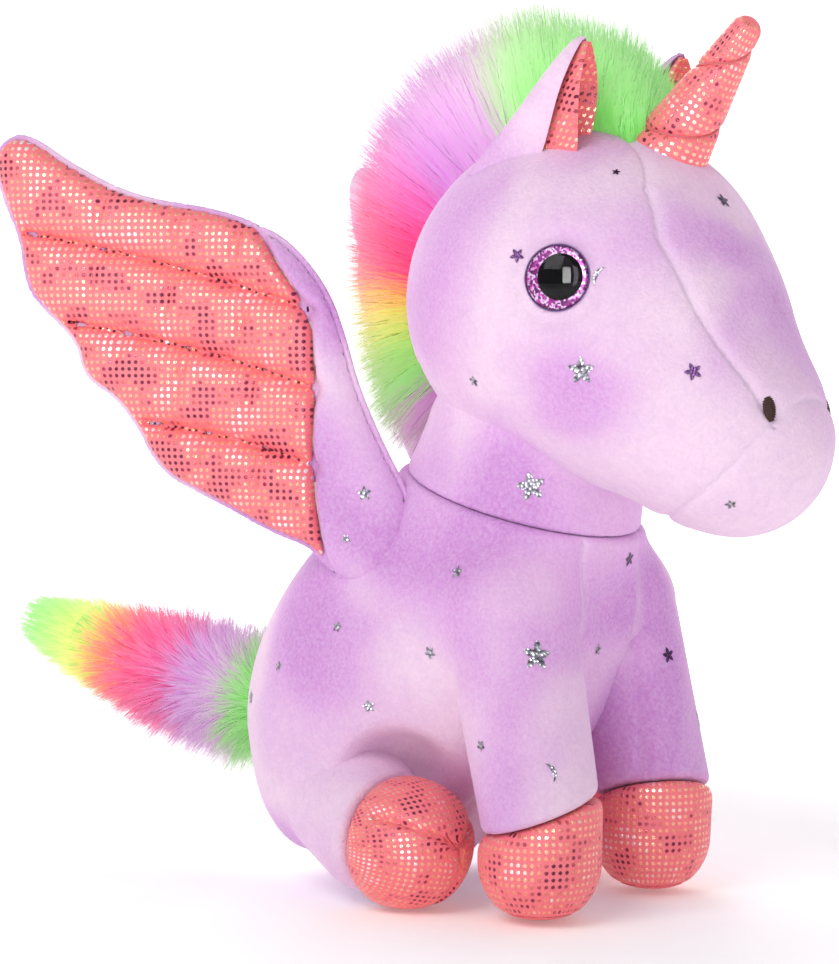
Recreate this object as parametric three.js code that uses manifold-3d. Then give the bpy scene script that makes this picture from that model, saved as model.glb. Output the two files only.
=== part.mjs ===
// A seated plush unicorn with wings: sewn plush panels over stuffing, with safety eyes and fur trim.
// Millimetres. +Z is up, -Y is the way it faces and +X is its own left. The origin is on the ground
// under the middle of its bounding box. Pieces that touch keep a gap of GAP, and a piece that flexes
// at its seam has FLEX round it. Right-hand pieces are on the -X side.

import * as THREE from "three";
import { ConvexGeometry } from "three/addons/geometries/ConvexGeometry.js";
import { mergeVertices } from "three/addons/utils/BufferGeometryUtils.js";
import Module from "manifold-3d";

const wasm = await Module();
wasm.setup();

// ---------------------------------------------------------------- driving dimensions

const GAP = 0.3;
const FLEX = 0.8;
const PLUSH = 2.5; // plush fabric with its pile
const FOIL = 1.2; // thin foil-dot fabric

const ROUND = [16, 10]; // facets round and along a large ball
const SMALL = [10, 8]; // the same for a small one
const COARSE = [10, 8]; // and for stuffing, which nobody sees
const COARSE_INSET = 1; // keeps coarse stuffing clear of the finer skin round it

const SKULL = { at: [0, -75, 185], radii: [50, 60, 52] };
const CHEEKS = { at: [0, -106, 164], radii: [40, 38, 38] };
const MUZZLE = { at: [0, -131, 143], radii: [30, 28.5, 28.5] };
const HEAD = [SKULL, CHEEKS, MUZZLE];

const RUMP = { at: [0, 0, 48], radii: [50, 50, 56] };
const BACK = { at: [0, -22, 75], radii: [44, 42, 52] };
const CHEST = { at: [0, -42, 88], radii: [40, 36, 46] };
const TORSO = [RUMP, BACK, CHEST];
const SEAT_Z = PLUSH + GAP; // the panels start on top of the seat panel

const NECK_PIVOT = [0, -55, 133];
const NECK_AXIS = [0, -0.3, 0.954];
const NECK_RADIUS = 36;
const NECK_DROP = 24; // from the pivot down to the collar seam

const GUSSET_WIDTH = 30;
const GUSSET_FLOOR = { at: [0, -160, 152], facing: [0, -0.16, 0.987] };
const MUZZLE_SEAM = { at: [0, -150, 152], facing: [0, -0.614, -0.789] };
const CHEST_WIDTH = 28;
const CHEST_FRONT_Y = -42;
const CHEST_LOW_Z = 34;

const HORN_BASE = [0, -106, 229];
const HORN_TIP = [0, -133, 265];
const HORN_RADII = [13, 3.6];

const EYE = { at: [46, -97, 190], facing: [0.949, -0.308, 0.093], radius: 10.5, dome: 5 };
const POST = { radius: 2.2, length: 13 };
const WASHER = { inner: 2.6, outer: 8, thick: 1.2, depth: 5.8 };

const NOSTRIL = { at: [14.5, -153.6, 154], radii: [2.4, 1.6, 3.8] };

const EAR = { base: [30, -83, 224], tip: [37, -86, 262], wide: 13, deep: 8.5 };
const EAR_OPENS = [-0.25, -0.97, 0];

const MANE_WIDTH = 26;
const MANE_BACKING_WIDTH = 14;
const MANE_OUTLINE = [
  [-100, 236], [-96, 256], [-88, 265], [-72, 271], [-56, 275], [-36, 271], [-14, 259], [2, 242],
  [9, 220], [9, 195], [6, 168], [4, 150], [-3, 143], [-13, 148], [-14, 170], [-40, 200], [-90, 215],
];

const TAIL_ROOT = [0, 55, 50];
const TAIL_BEND = [-4, 92, 55];
const TAIL_TIP = [-9, 150.5, 70];
const TAIL_BALL = 8;
const TAIL_CORE = 4;
const TAIL_FUR = [25, 22, 9.5]; // radius at the root, the bend and the tip
const TAIL_OPENING = 58; // half the angle of the cone that the fur starts in

const FRONT_LEG = { top: [26, -64, 83], ankle: [28, -78, 32], radii: [18.5, 16.5], swing: [0, 20] };
const FRONT_HOOF = { at: [28, -78, 18], radii: [18.3, 18.3, 20], height: 30, sole: 3 };
const REAR_LEG = { top: [33, 12, 27], ankle: [39, -24, 22], radii: [22, 19], lift: [0, 25] };
const REAR_HOOF = { at: [40, -37.5, 20], radii: [20, 20, 20] };
const REAR_HOOF_SEAM = { at: [40, -30, 20], facing: [0, 1, 0] };

// The wing stands in an upright plane. u runs out along it from the root and v runs up.
const WING_ROOT = [39, -20, 99];
const WING_OUT = [0.36, 0.933, 0];
const WING_HINGE_U = -8;
const WING_FLAP = [-4, 30];
const WING_PAD = 4;
const WING_PAD_SHARE = 0.94; // the padding's outline over the wing's, about the middle
const WING_MIDDLE = [50, 70];
const WING_OUTLINE = [
  [0, 0], [6, 1], [12, 6], [17, 12], [29, 16], [42, 23], [54, 29], [62, 33], [68, 40], [71, 47],
  [79, 58], [89, 64], [91, 75], [101, 85], [107, 92], [109, 108], [113, 117], [117, 130], [115, 137],
  [108, 140], [93, 129], [73, 119], [47, 115], [29, 108], [20, 100], [12, 89], [7, 75], [3, 60],
  [-6, 40], [-14, 26], [-14, 12], [-8, 2],
];
// Where the foil-dot face meets the plush arm, from the lower edge to the top edge.
const WING_SEAM = [
  [18, 12], [20, 26], [21, 41], [20, 61], [21, 78], [24, 86], [30, 96], [37, 107], [42, 113],
];

// ---------------------------------------------------------------- solids

function solidOf(geometry) {
  const loose = geometry.index ? geometry.toNonIndexed() : geometry;
  const bare = new THREE.BufferGeometry().setAttribute("position", loose.getAttribute("position"));
  const merged = mergeVertices(bare, 1e-4);
  return new wasm.Manifold(
    new wasm.Mesh({
      numProp: 3,
      vertProperties: merged.getAttribute("position").array,
      triVerts: new Uint32Array(merged.index.array),
    }),
  );
}

function geometryOf(solid) {
  const mesh = solid.getMesh();
  const geometry = new THREE.BufferGeometry();
  geometry.setAttribute("position", new THREE.BufferAttribute(mesh.vertProperties, 3));
  geometry.setIndex(new THREE.BufferAttribute(mesh.triVerts, 1));
  geometry.computeVertexNormals();
  return geometry;
}

const sided = (point, sign) => [point[0] * sign, point[1], point[2]];
const joined = (solids) => solids.reduce((whole, solid) => whole.add(solid));
const cutBy = (solid, ...others) => others.reduce((left, other) => left.subtract(other), solid);

function largest(solid) {
  const bodies = solid.decompose();
  return bodies.reduce((best, body) => (body.volume() > best.volume() ? body : best));
}

// A turn that carries +Z to the direction given, then a move to the point given.
function placement(at, direction) {
  const up = new THREE.Vector3(0, 0, 1);
  const turn = new THREE.Quaternion().setFromUnitVectors(up, new THREE.Vector3(...direction).normalize());
  return new THREE.Matrix4().compose(new THREE.Vector3(...at), turn, new THREE.Vector3(1, 1, 1));
}

function ball({ at, radii }, grow = 0, facets = ROUND) {
  const sphere = new THREE.SphereGeometry(1, ...facets).rotateX(Math.PI / 2);
  return solidOf(sphere.scale(...radii.map((r) => r + grow)).translate(...at));
}

// A round bar with flat ends that tapers between two points.
function taper(from, to, radii, facets = SMALL) {
  const along = new THREE.Vector3(...to).sub(new THREE.Vector3(...from));
  const bar = new THREE.CylinderGeometry(radii[1], radii[0], along.length(), facets[0]);
  bar.rotateX(Math.PI / 2).translate(0, 0, along.length() / 2);
  return solidOf(bar.applyMatrix4(placement(from, along.toArray())));
}

// The corners of a ball, for a hull.
function corners({ at, radii }, grow = 0, facets = SMALL) {
  const sphere = new THREE.SphereGeometry(1, ...facets).rotateX(Math.PI / 2);
  sphere.scale(...radii.map((r) => r + grow)).translate(...at);
  const place = sphere.getAttribute("position");
  return Array.from({ length: place.count }, (_, i) => new THREE.Vector3().fromBufferAttribute(place, i));
}

const hull = (points) => solidOf(new ConvexGeometry(points));

// A round bar with ball ends that tapers from point to point.
function limb(points, radii, grow = 0, facets = SMALL) {
  const ends = points.map((at, i) => corners({ at, radii: [radii[i], radii[i], radii[i]] }, grow, facets));
  return joined(ends.slice(1).map((end, i) => hull([...ends[i], ...end])));
}

// The convex room that balls sweep as they turn from one angle to another.
function sweptRoom(balls, grow, pivot, axis, [from, to]) {
  const steps = [0, 0.5, 1];
  const turns = steps.map((t) => turnAbout(pivot, axis, from + (to - from) * t));
  const points = balls.flatMap((shape) => corners(shape, grow));
  return hull(turns.flatMap((turn) => points.map((point) => point.clone().applyMatrix4(turn))));
}

function lathe(profile, matrix, facets = 16) {
  const points = profile.map(([radius, height]) => new THREE.Vector2(radius, height));
  const turned = new THREE.LatheGeometry(points, facets).rotateX(Math.PI / 2);
  return solidOf(turned.applyMatrix4(matrix));
}

// The half of space ahead of a plane, as a block large enough to cut with.
function ahead({ at, facing }, shift = 0) {
  const size = 700;
  const block = new THREE.BoxGeometry(size, size, size).translate(0, 0, size / 2 + shift);
  return solidOf(block.applyMatrix4(placement(at, facing)));
}

function block(low, high) {
  const size = high.map((h, i) => h - low[i]);
  return solidOf(new THREE.BoxGeometry(...size).translate(...high.map((h, i) => (h + low[i]) / 2)));
}

const form = (balls, grow, facets = ROUND) => joined(balls.map((shape) => ball(shape, grow, facets)));
const slab = (width) => block([-width / 2, -400, -400], [width / 2, 400, 400]);
const sideOf = (sign) => ahead({ at: [0, 0, 0], facing: [sign, 0, 0] }, GAP / 2);

function turnAbout(pivot, axis, degrees) {
  const angle = THREE.MathUtils.degToRad(degrees);
  const turn = new THREE.Matrix4().makeRotationAxis(new THREE.Vector3(...axis).normalize(), angle);
  const there = new THREE.Matrix4().makeTranslation(...pivot);
  const back = new THREE.Matrix4().makeTranslation(...pivot.map((x) => -x));
  return there.multiply(turn).multiply(back);
}

// The room that a solid sweeps as it turns from one angle to another.
function swept(solid, pivot, axis, [from, to], steps = 4) {
  const angles = Array.from({ length: steps + 1 }, (_, i) => from + ((to - from) * i) / steps);
  return joined(angles.map((angle) => solid.transform(turnAbout(pivot, axis, angle).elements)));
}

// ---------------------------------------------------------------- materials and nodes

const FINISHES = {
  plush: { color: 0xdcb8e8, roughness: 0.9, metalness: 0 },
  foil: { color: 0xff7d87, roughness: 0.5, metalness: 0.1 },
  stuffing: { color: 0xf4f2ec, roughness: 1, metalness: 0 },
  fur: { color: 0xc98ae6, roughness: 0.95, metalness: 0 },
  backing: { color: 0xd9b3d9, roughness: 0.95, metalness: 0 },
  thread: { color: 0x4a2a22, roughness: 0.7, metalness: 0 },
  clear: { color: 0xcfc6da, roughness: 0.05, metalness: 0 },
  glitter: { color: 0xd070c8, roughness: 0.3, metalness: 0.5 },
  black: { color: 0x080808, roughness: 0.15, metalness: 0 },
  plastic: { color: 0x9a86a8, roughness: 0.4, metalness: 0 },
};

const unicorn = new THREE.Group();

function node(name, finish, solid) {
  const mesh = new THREE.Mesh(geometryOf(largest(solid)), new THREE.MeshStandardMaterial(FINISHES[finish]));
  mesh.name = name;
  unicorn.add(mesh);
}

// ---------------------------------------------------------------- neck

// A ball in the head's socket with a round collar below it, so both the turn and the nod run free.
function neckForm(grow = 0, facets = ROUND) {
  const radius = NECK_RADIUS + grow;
  const top = ball({ at: NECK_PIVOT, radii: [radius, radius, radius] }, 0, facets);
  return top.add(taper(collarPoint(-NECK_DROP - 10), NECK_PIVOT, [radius, radius], facets));
}

function collarPoint(height) {
  const axis = new THREE.Vector3(...NECK_AXIS).normalize();
  return new THREE.Vector3(...NECK_PIVOT).addScaledVector(axis, height).toArray();
}

// Everything above the collar seam.
function aboveCollarSeam(shift) {
  return ahead({ at: collarPoint(-NECK_DROP), facing: NECK_AXIS }, shift);
}

function addNeck() {
  node("neck_collar", "plush", neckForm().subtract(neckForm(-PLUSH)).intersect(aboveCollarSeam(0)));
  const stuffing = neckForm(-PLUSH - GAP - COARSE_INSET, COARSE);
  node("neck_stuffing", "stuffing", stuffing.intersect(aboveCollarSeam(0)));
}

// ---------------------------------------------------------------- head

function eyeCylinder(sign, radius, low, high) {
  const matrix = placement(sided(EYE.at, sign), sided(EYE.facing, sign));
  return lathe([[0, low], [radius, low], [radius, high], [0, high]], matrix);
}

function addHead() {
  const outer = form(HEAD, 0);
  const socket = neckForm(FLEX);
  const eyeSeats = [-1, 1].flatMap((sign) => [
    eyeCylinder(sign, EYE.radius + GAP, -0.9, 12),
    eyeCylinder(sign, POST.radius + GAP, -20, 0),
  ]);
  const shell = cutBy(outer, form(HEAD, -PLUSH), socket, ...eyeSeats);
  const gussetRoom = (grow) => slab(GUSSET_WIDTH + 2 * grow).intersect(ahead(GUSSET_FLOOR, -grow));
  const muzzleRoom = (grow) => ahead(MUZZLE_SEAM, -grow);

  node("forehead_gusset", "plush", shell.intersect(gussetRoom(0)).subtract(muzzleRoom(GAP)));
  node("muzzle_panel", "plush", shell.intersect(muzzleRoom(0)));
  for (const [name, sign] of [["head_panel_right", -1], ["head_panel_left", 1]])
    node(name, "plush", cutBy(shell, gussetRoom(GAP), muzzleRoom(GAP)).intersect(sideOf(sign)));

  const washerRooms = [-1, 1].map((sign) => eyeCylinder(sign, WASHER.outer + GAP, -POST.length - 2, 0));
  const stuffing = form(HEAD, -PLUSH - GAP - COARSE_INSET, COARSE);
  node("head_stuffing", "stuffing", cutBy(stuffing, neckForm(FLEX + 2 * COARSE_INSET, COARSE), ...washerRooms));
}

function hornCone(grow) {
  const axis = new THREE.Vector3(...HORN_TIP).sub(new THREE.Vector3(...HORN_BASE)).normalize();
  const root = new THREE.Vector3(...HORN_BASE).addScaledVector(axis, -9).toArray();
  const sunk = HORN_RADII[0] + 2; // the cone goes on widening below the head's surface
  return limb([root, HORN_TIP], [sunk, HORN_RADII[1]], grow);
}

function addHorn() {
  const overHead = form(HEAD, GAP);
  node("horn_cover", "foil", cutBy(hornCone(0), hornCone(-FOIL), overHead));
  node("horn_stuffing", "stuffing", cutBy(hornCone(-FOIL - GAP), overHead));
}

function addEye(side, sign) {
  const matrix = placement(sided(EYE.at, sign), sided(EYE.facing, sign));
  const piece = (name, finish, profile) => node(`eye_${side}_${name}`, finish, lathe(profile, matrix));
  const rim = EYE.radius;
  const face = 0.9;
  const glass = face + 3 * GAP + 0.3;
  const pupil = 6.4;
  const arc = [0, 0.3, 0.65, 1].map((t) => {
    const angle = (t * Math.PI) / 2;
    return [t === 1 ? 0 : rim * Math.cos(angle), glass + 0.8 + EYE.dome * Math.sin(angle)];
  });
  piece("back", "plastic", [
    [0, -POST.length], [POST.radius, -POST.length], [POST.radius, -0.6], [rim, -0.6], [rim, face], [0, face],
  ]);
  piece("glitter_ring", "glitter", [
    [pupil + GAP, face + GAP], [rim - 1, face + GAP], [rim - 1, glass - GAP], [pupil + GAP, glass - GAP],
    [pupil + GAP, face + GAP],
  ]);
  piece("pupil", "black", [[0, face + GAP], [pupil, face + GAP], [pupil, glass - GAP], [0, glass - GAP]]);
  piece("dome", "clear", [[0, glass], [rim, glass], ...arc]);
  piece("washer", "plastic", [
    [WASHER.inner, -WASHER.depth], [WASHER.outer, -WASHER.depth],
    [WASHER.outer, -WASHER.depth + WASHER.thick], [WASHER.inner, -WASHER.depth + WASHER.thick],
    [WASHER.inner, -WASHER.depth],
  ]);
}

function addNostril(side, sign) {
  const oval = ball({ at: sided(NOSTRIL.at, sign), radii: NOSTRIL.radii }, 0, SMALL);
  node(`nostril_${side}`, "thread", oval.subtract(form(HEAD, GAP)));
}

// A pointed cup, open to the front, with its lining inside.
function addEar(side, sign) {
  const base = sided(EAR.base, sign);
  const along = sided(EAR.tip, sign).map((x, i) => x - base[i]);
  const length = Math.hypot(...along);
  const cup = (inset) => {
    const radii = [EAR.wide - inset, EAR.deep - inset, length - inset];
    const sphere = new THREE.SphereGeometry(1, ...SMALL).rotateX(Math.PI / 2).scale(...radii);
    return solidOf(sphere.applyMatrix4(placement(base, along)));
  };
  const behind = ahead({ at: base, facing: sided(EAR_OPENS, sign).map((x) => -x) }, -1.5);
  const crown = form([SKULL], 2 * FLEX);
  const layer = (from, to) => cutBy(cup(from), cup(to), crown).intersect(behind);
  node(`ear_${side}_outer`, "plush", layer(0, PLUSH));
  node(`ear_${side}_lining`, "foil", layer(PLUSH + GAP, PLUSH + GAP + FOIL));
}

function addMane() {
  const shape = new THREE.Shape(MANE_OUTLINE.map(([y, z]) => new THREE.Vector2(y, z)));
  const crest = new THREE.ExtrudeGeometry(shape, { depth: MANE_WIDTH, bevelEnabled: false });
  // The outline is drawn in Y and Z, and it is extruded along X.
  crest.translate(0, 0, -MANE_WIDTH / 2).rotateX(Math.PI / 2).rotateZ(Math.PI / 2);
  const strip = slab(MANE_BACKING_WIDTH).intersect(solidOf(crest));
  const horn = hornCone(GAP);
  node("mane_backing", "backing", cutBy(strip.intersect(form(HEAD, 1.6)), form(HEAD, GAP), horn));
  node("mane_fur", "fur", cutBy(solidOf(crest), form(HEAD, 1.6 + GAP), horn));
}

// ---------------------------------------------------------------- legs and tail

const LEG_AXIS = [-1, 0, 0];

// The two balls at the ends of a leg, and the solid leg with its hoof.
const legBalls = ({ top, ankle, radii }, sign) =>
  [top, ankle].map((at, i) => ({ at: sided(at, sign), radii: [radii[i], radii[i], radii[i]] }));

function legForm(leg, hoof, sign, grow) {
  const points = legBalls(leg, sign).flatMap((shape) => corners(shape, grow));
  return hull(points).add(ball({ at: sided(hoof.at, sign), radii: hoof.radii }, grow, SMALL));
}

function addFrontLeg(side, sign) {
  const ground = ahead({ at: [0, 0, 0], facing: [0, 0, 1] });
  const skin = legForm(FRONT_LEG, FRONT_HOOF, sign, 0).intersect(ground);
  const core = legForm(FRONT_LEG, FRONT_HOOF, sign, -PLUSH);
  const above = (z) => ahead({ at: [0, 0, z], facing: [0, 0, 1] });
  const { height, sole } = FRONT_HOOF;
  const middle = sole + GAP;
  node(`front_leg_${side}_cover`, "plush", skin.subtract(core).intersect(above(height + GAP)));
  node(`front_hoof_${side}_cap`, "foil", skin.subtract(core).intersect(above(middle)).subtract(above(height)));
  node(`front_hoof_${side}_sole`, "foil", skin.subtract(above(sole)));
  node(`front_leg_${side}_stuffing`, "stuffing", legForm(FRONT_LEG, FRONT_HOOF, sign, -PLUSH - GAP).intersect(above(middle)));
}

function addRearLeg(side, sign) {
  const skin = legForm(REAR_LEG, REAR_HOOF, sign, 0).subtract(legForm(REAR_LEG, REAR_HOOF, sign, -PLUSH));
  node(`rear_leg_${side}_cover`, "plush", skin.intersect(ahead(REAR_HOOF_SEAM)));
  node(`rear_hoof_${side}_cap`, "foil", skin.subtract(ahead(REAR_HOOF_SEAM, -GAP)));
  node(`rear_leg_${side}_stuffing`, "stuffing", legForm(REAR_LEG, REAR_HOOF, sign, -PLUSH - GAP));
}

function addTail() {
  const knob = (grow) => ball({ at: TAIL_ROOT, radii: [TAIL_BALL, TAIL_BALL, TAIL_BALL] }, grow, SMALL);
  const route = [TAIL_ROOT, TAIL_BEND, TAIL_TIP];
  const core = (grow) => limb(route, [TAIL_CORE, TAIL_CORE, TAIL_CORE], grow, [8, 6]);
  const brush = limb([[0, 66, 51], TAIL_BEND, TAIL_TIP], TAIL_FUR);
  // The fur starts as a cone, so that it clears the body as the tail lifts and swings.
  const reach = 140;
  const opening = Math.tan(THREE.MathUtils.degToRad(TAIL_OPENING));
  const end = [TAIL_ROOT[0], TAIL_ROOT[1] + reach, TAIL_ROOT[2]];
  const cone = taper(TAIL_ROOT, end, [TAIL_BALL / 2, reach * opening], ROUND);
  node("tail_stub", "plush", knob(0));
  node("tail_backing", "backing", core(0).subtract(knob(FLEX)));
  node("tail_fur", "fur", cutBy(brush.intersect(cone), core(GAP), knob(FLEX)));
}

// ---------------------------------------------------------------- torso

function addTorso() {
  const legRoom = (leg, hoof, sign, range) => {
    const balls = [...legBalls(leg, sign), { at: sided(hoof.at, sign), radii: hoof.radii }];
    return sweptRoom(balls, FLEX, sided(leg.top, sign), LEG_AXIS, range);
  };
  const legRooms = [-1, 1].flatMap((sign) => [
    legRoom(FRONT_LEG, FRONT_HOOF, sign, FRONT_LEG.swing),
    legRoom(REAR_LEG, REAR_HOOF, sign, REAR_LEG.lift),
  ]);
  const tailRoom = ball({ at: TAIL_ROOT, radii: [TAIL_BALL, TAIL_BALL, TAIL_BALL] }, FLEX, SMALL);
  const aboveSeat = ahead({ at: [0, 0, SEAT_Z], facing: [0, 0, 1] });
  const rooms = [...legRooms, tailRoom, aboveCollarSeam(-GAP)];
  const outer = form(TORSO, 0);
  const shell = cutBy(outer, form(TORSO, -PLUSH), ...rooms).intersect(aboveSeat);
  const chestRoom = (grow) =>
    block(
      [-CHEST_WIDTH / 2 - grow, -200, CHEST_LOW_Z - grow],
      [CHEST_WIDTH / 2 + grow, CHEST_FRONT_Y + grow, 200],
    );
  node("chest_panel", "plush", shell.intersect(chestRoom(0)));
  for (const [name, sign] of [["body_panel_right", -1], ["body_panel_left", 1]])
    node(name, "plush", shell.subtract(chestRoom(GAP)).intersect(sideOf(sign)));
  const seat = outer.intersect(block([-100, -100, 0], [100, 100, PLUSH]));
  node("seat_panel", "plush", cutBy(seat, ...legRooms));
  const stuffing = form(TORSO, -PLUSH - GAP - COARSE_INSET, COARSE);
  node("body_stuffing", "stuffing", cutBy(stuffing, ...rooms).intersect(aboveSeat));
}

// ---------------------------------------------------------------- wings

// Moves a solid drawn flat in u and v, with its thickness along the outward face, to the wing's place.
function wingMatrix(sign) {
  const out = new THREE.Vector3(...sided(WING_OUT, sign)).normalize();
  const up = new THREE.Vector3(0, 0, 1);
  const face = new THREE.Vector3().crossVectors(out, up).multiplyScalar(sign);
  const matrix = new THREE.Matrix4().makeBasis(out, up, face);
  return matrix.setPosition(...sided(WING_ROOT, sign));
}

function wingLayer(outline, low, high, sign) {
  const shape = new THREE.Shape(outline.map(([u, v]) => new THREE.Vector2(u, v)));
  const layer = new THREE.ExtrudeGeometry(shape, { depth: high - low, bevelEnabled: false });
  return solidOf(layer.translate(0, 0, low)).transform(wingMatrix(sign).elements);
}

function wingHinge(sign) {
  return sided(WING_ROOT.map((x, i) => x + WING_HINGE_U * WING_OUT[i]), sign);
}

function addWing(side, sign) {
  const body = form(TORSO, FLEX).add(neckForm(FLEX));
  const clear = swept(body, wingHinge(sign), [0, 0, -sign], WING_FLAP.map((angle) => -angle), 4);
  const shrink = (x, middle) => middle + (x - middle) * WING_PAD_SHARE;
  const inset = WING_OUTLINE.map(([u, v]) => [shrink(u, WING_MIDDLE[0]), shrink(v, WING_MIDDLE[1])]);
  const armLow = WING_SEAM[0];
  const lowIndex = WING_OUTLINE.findIndex(([u, v]) => u > armLow[0] && v < 20);
  const topIndex = WING_OUTLINE.findIndex(([u, v]) => u < 45 && v > 100);
  const foilFace = [...WING_OUTLINE.slice(lowIndex, topIndex - 1), ...[...WING_SEAM].reverse()];
  const armSeam = WING_SEAM.map(([u, v]) => [u - GAP, v]);
  const armFace = [
    ...WING_OUTLINE.slice(0, lowIndex - 1),
    ...armSeam,
    ...WING_OUTLINE.slice(topIndex),
  ];
  const half = WING_PAD / 2;
  const layers = {
    back_panel: ["plush", WING_OUTLINE, -half - GAP - PLUSH, -half - GAP],
    padding: ["stuffing", inset, -half, half],
    foil_panel: ["foil", foilFace, half + GAP, half + GAP + FOIL],
    arm_panel: ["plush", armFace, half + GAP, half + GAP + PLUSH],
  };
  for (const [name, [finish, outline, low, high]] of Object.entries(layers)) {
    node(`wing_${side}_${name}`, finish, wingLayer(outline, low, high, sign).subtract(clear));
  }
}

// ---------------------------------------------------------------- assembly

addTorso();
addNeck();
addHead();
addHorn();
addMane();
addTail();
for (const [side, sign] of [["right", -1], ["left", 1]]) {
  addEye(side, sign);
  addNostril(side, sign);
  addEar(side, sign);
  addFrontLeg(side, sign);
  addRearLeg(side, sign);
  addWing(side, sign);
}

export default unicorn;
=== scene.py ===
"""A seated plush unicorn with wings: the soft skins, fur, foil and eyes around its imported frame.

Lengths below are millimetres in the frame's axes (+Z up, -Y forward, +X its own left) until a mesh
is made, which is where they become metres. Right-hand pieces are on the -X side.
"""
import math

import bpy
import numpy as np
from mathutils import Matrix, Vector


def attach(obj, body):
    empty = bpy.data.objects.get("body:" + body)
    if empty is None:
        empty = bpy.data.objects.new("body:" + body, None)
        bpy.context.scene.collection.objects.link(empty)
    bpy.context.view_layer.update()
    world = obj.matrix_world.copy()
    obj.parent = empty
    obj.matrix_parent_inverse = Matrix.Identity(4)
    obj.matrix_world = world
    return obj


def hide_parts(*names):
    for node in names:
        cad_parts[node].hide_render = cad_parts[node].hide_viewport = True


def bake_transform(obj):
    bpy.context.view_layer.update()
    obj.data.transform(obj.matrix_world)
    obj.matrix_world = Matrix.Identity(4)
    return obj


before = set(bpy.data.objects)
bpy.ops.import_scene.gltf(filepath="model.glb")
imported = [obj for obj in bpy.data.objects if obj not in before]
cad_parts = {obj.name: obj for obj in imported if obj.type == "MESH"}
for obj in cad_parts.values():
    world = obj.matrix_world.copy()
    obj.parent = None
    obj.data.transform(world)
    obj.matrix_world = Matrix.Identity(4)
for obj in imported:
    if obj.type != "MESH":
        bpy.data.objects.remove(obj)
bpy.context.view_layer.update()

MM = 0.001
SIDES = (("right", -1), ("left", 1))


def vec(*numbers):
    return np.array(numbers, float)


def sided(point, sign):
    return vec(*point) * vec(sign, 1, 1)


# ---------------------------------------------------------------- driving shapes

SKULL = (vec(0, -76.5, 186.5), vec(50, 58.5, 53))
CHEEKS = (vec(0, -106, 164), vec(40, 38, 38))
MUZZLE = (vec(0, -130, 143.5), vec(29.5, 28, 28))
HEAD_BLEND = 16

RUMP = (vec(0, -1.5, 53.5), vec(49.5, 47.5, 51.5))
BACK = (vec(0, -19, 82), vec(44.5, 43.5, 47))
CHEST = (vec(0, -44, 86), vec(38, 34, 44))
TORSO_BLEND = 22
NECK_PIVOT = vec(0, -55, 133)
NECK_AXIS = vec(0, -0.3, 0.954)
NECK_SEAM = -9  # along the neck's axis from its pivot
NECK_RADIUS = 38
NECK_FOOT = vec(0, -40, 78)

SHOULDER = vec(28, -67, 91)
ANKLE = vec(31, -81, 32)
FRONT_RADII = (20, 18)
HIP = vec(27, 1, 34)
HOCK = vec(39, -24, 23)
REAR_RADII = (21.5, 19.5)
LEG_BLEND = 13

GUSSET_HEIGHTS = (150, 163, 182, 202, 217, 234)
GUSSET_HALVES = (16.5, 20, 26.3, 28.5, 24.5, 12)
MUZZLE_SEAM = (vec(0, -150, 153), vec(0, -0.614, -0.789))
CHEST_HALF = 15
SEAT_TOP = 12
NO_SEAM = 50  # the distance to a seam that does not run here
SEAM_DEPTH = 0.9
SEAM_WIDTH = 1.2
SKIN_STEP = 1.25
SKIN_THICK = 1.6
GROUND_GAP = 0.2
SEAM_GAP = 0.3  # between pieces of different bodies
STUFFING_DEPTH, STUFFING_STEP = 3.5, 4


# ---------------------------------------------------------------- fields: negative inside

def length(v):
    return np.sqrt((v * v).sum(-1))


def unit(v):
    return v / length(v)[..., None]


def nearer(a, b):
    """Whichever of two signed distances is nearer to nought."""
    return np.where(np.abs(a) < np.abs(b), a, b)


def ellipsoid(p, shape):
    at, radii = shape
    q = (p - at) / radii
    near = length(q)
    return near * (near - 1) / np.maximum(length(q / radii), 1e-6)


def limb(p, a, b, radius_a, radius_b):
    along = b - a
    t = np.clip(((p - a) @ along) / (along @ along), 0, 1)
    return length(p - (a + t[:, None] * along)) - (radius_a + (radius_b - radius_a) * t)


def join(a, b, soft):
    h = np.clip(0.5 + 0.5 * (b - a) / soft, 0, 1)
    return b * (1 - h) + a * h - soft * h * (1 - h)


def cut(a, b, soft):
    return -join(-a, -b, soft)


def plane(p, at, facing):
    """Distance ahead of a plane."""
    return (p - at) @ (facing / length(facing))


def above_ground(form, p, soft):
    """A form with its foot flattened just above the ground."""
    return cut(form, GROUND_GAP - p[:, 2], soft)


def ramp(x, low, high):
    t = np.clip((x - low) / (high - low), 0, 1)
    return t * t * (3 - 2 * t)


def groove(distance, depth=SEAM_DEPTH, width=SEAM_WIDTH):
    """A sewn seam: a narrow valley with the stuffing swelling a little on both sides."""
    swell = 0.3 * np.exp(-(((np.abs(distance) - 5) / 3.5) ** 2))
    return depth * np.exp(-((distance / width) ** 2)) - swell


def gusset_side(p):
    """How far outside the forehead gusset a point is."""
    return np.abs(p[:, 0]) - np.interp(p[:, 2], GUSSET_HEIGHTS, GUSSET_HALVES)


def muzzle_side(p):
    """How far ahead of the muzzle seam a point is; the seam bows down at the sides."""
    at, ahead = MUZZLE_SEAM
    return plane(p, at, ahead) - 8 * (p[:, 0] / 25) ** 2


def above_nose(p):
    return plane(p, vec(0, -160, 150), vec(0, -0.16, 0.987))


def head_field(p):
    whole = join(ellipsoid(p, SKULL), ellipsoid(p, CHEEKS), HEAD_BLEND)
    return join(whole, ellipsoid(p, MUZZLE), HEAD_BLEND)


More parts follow.
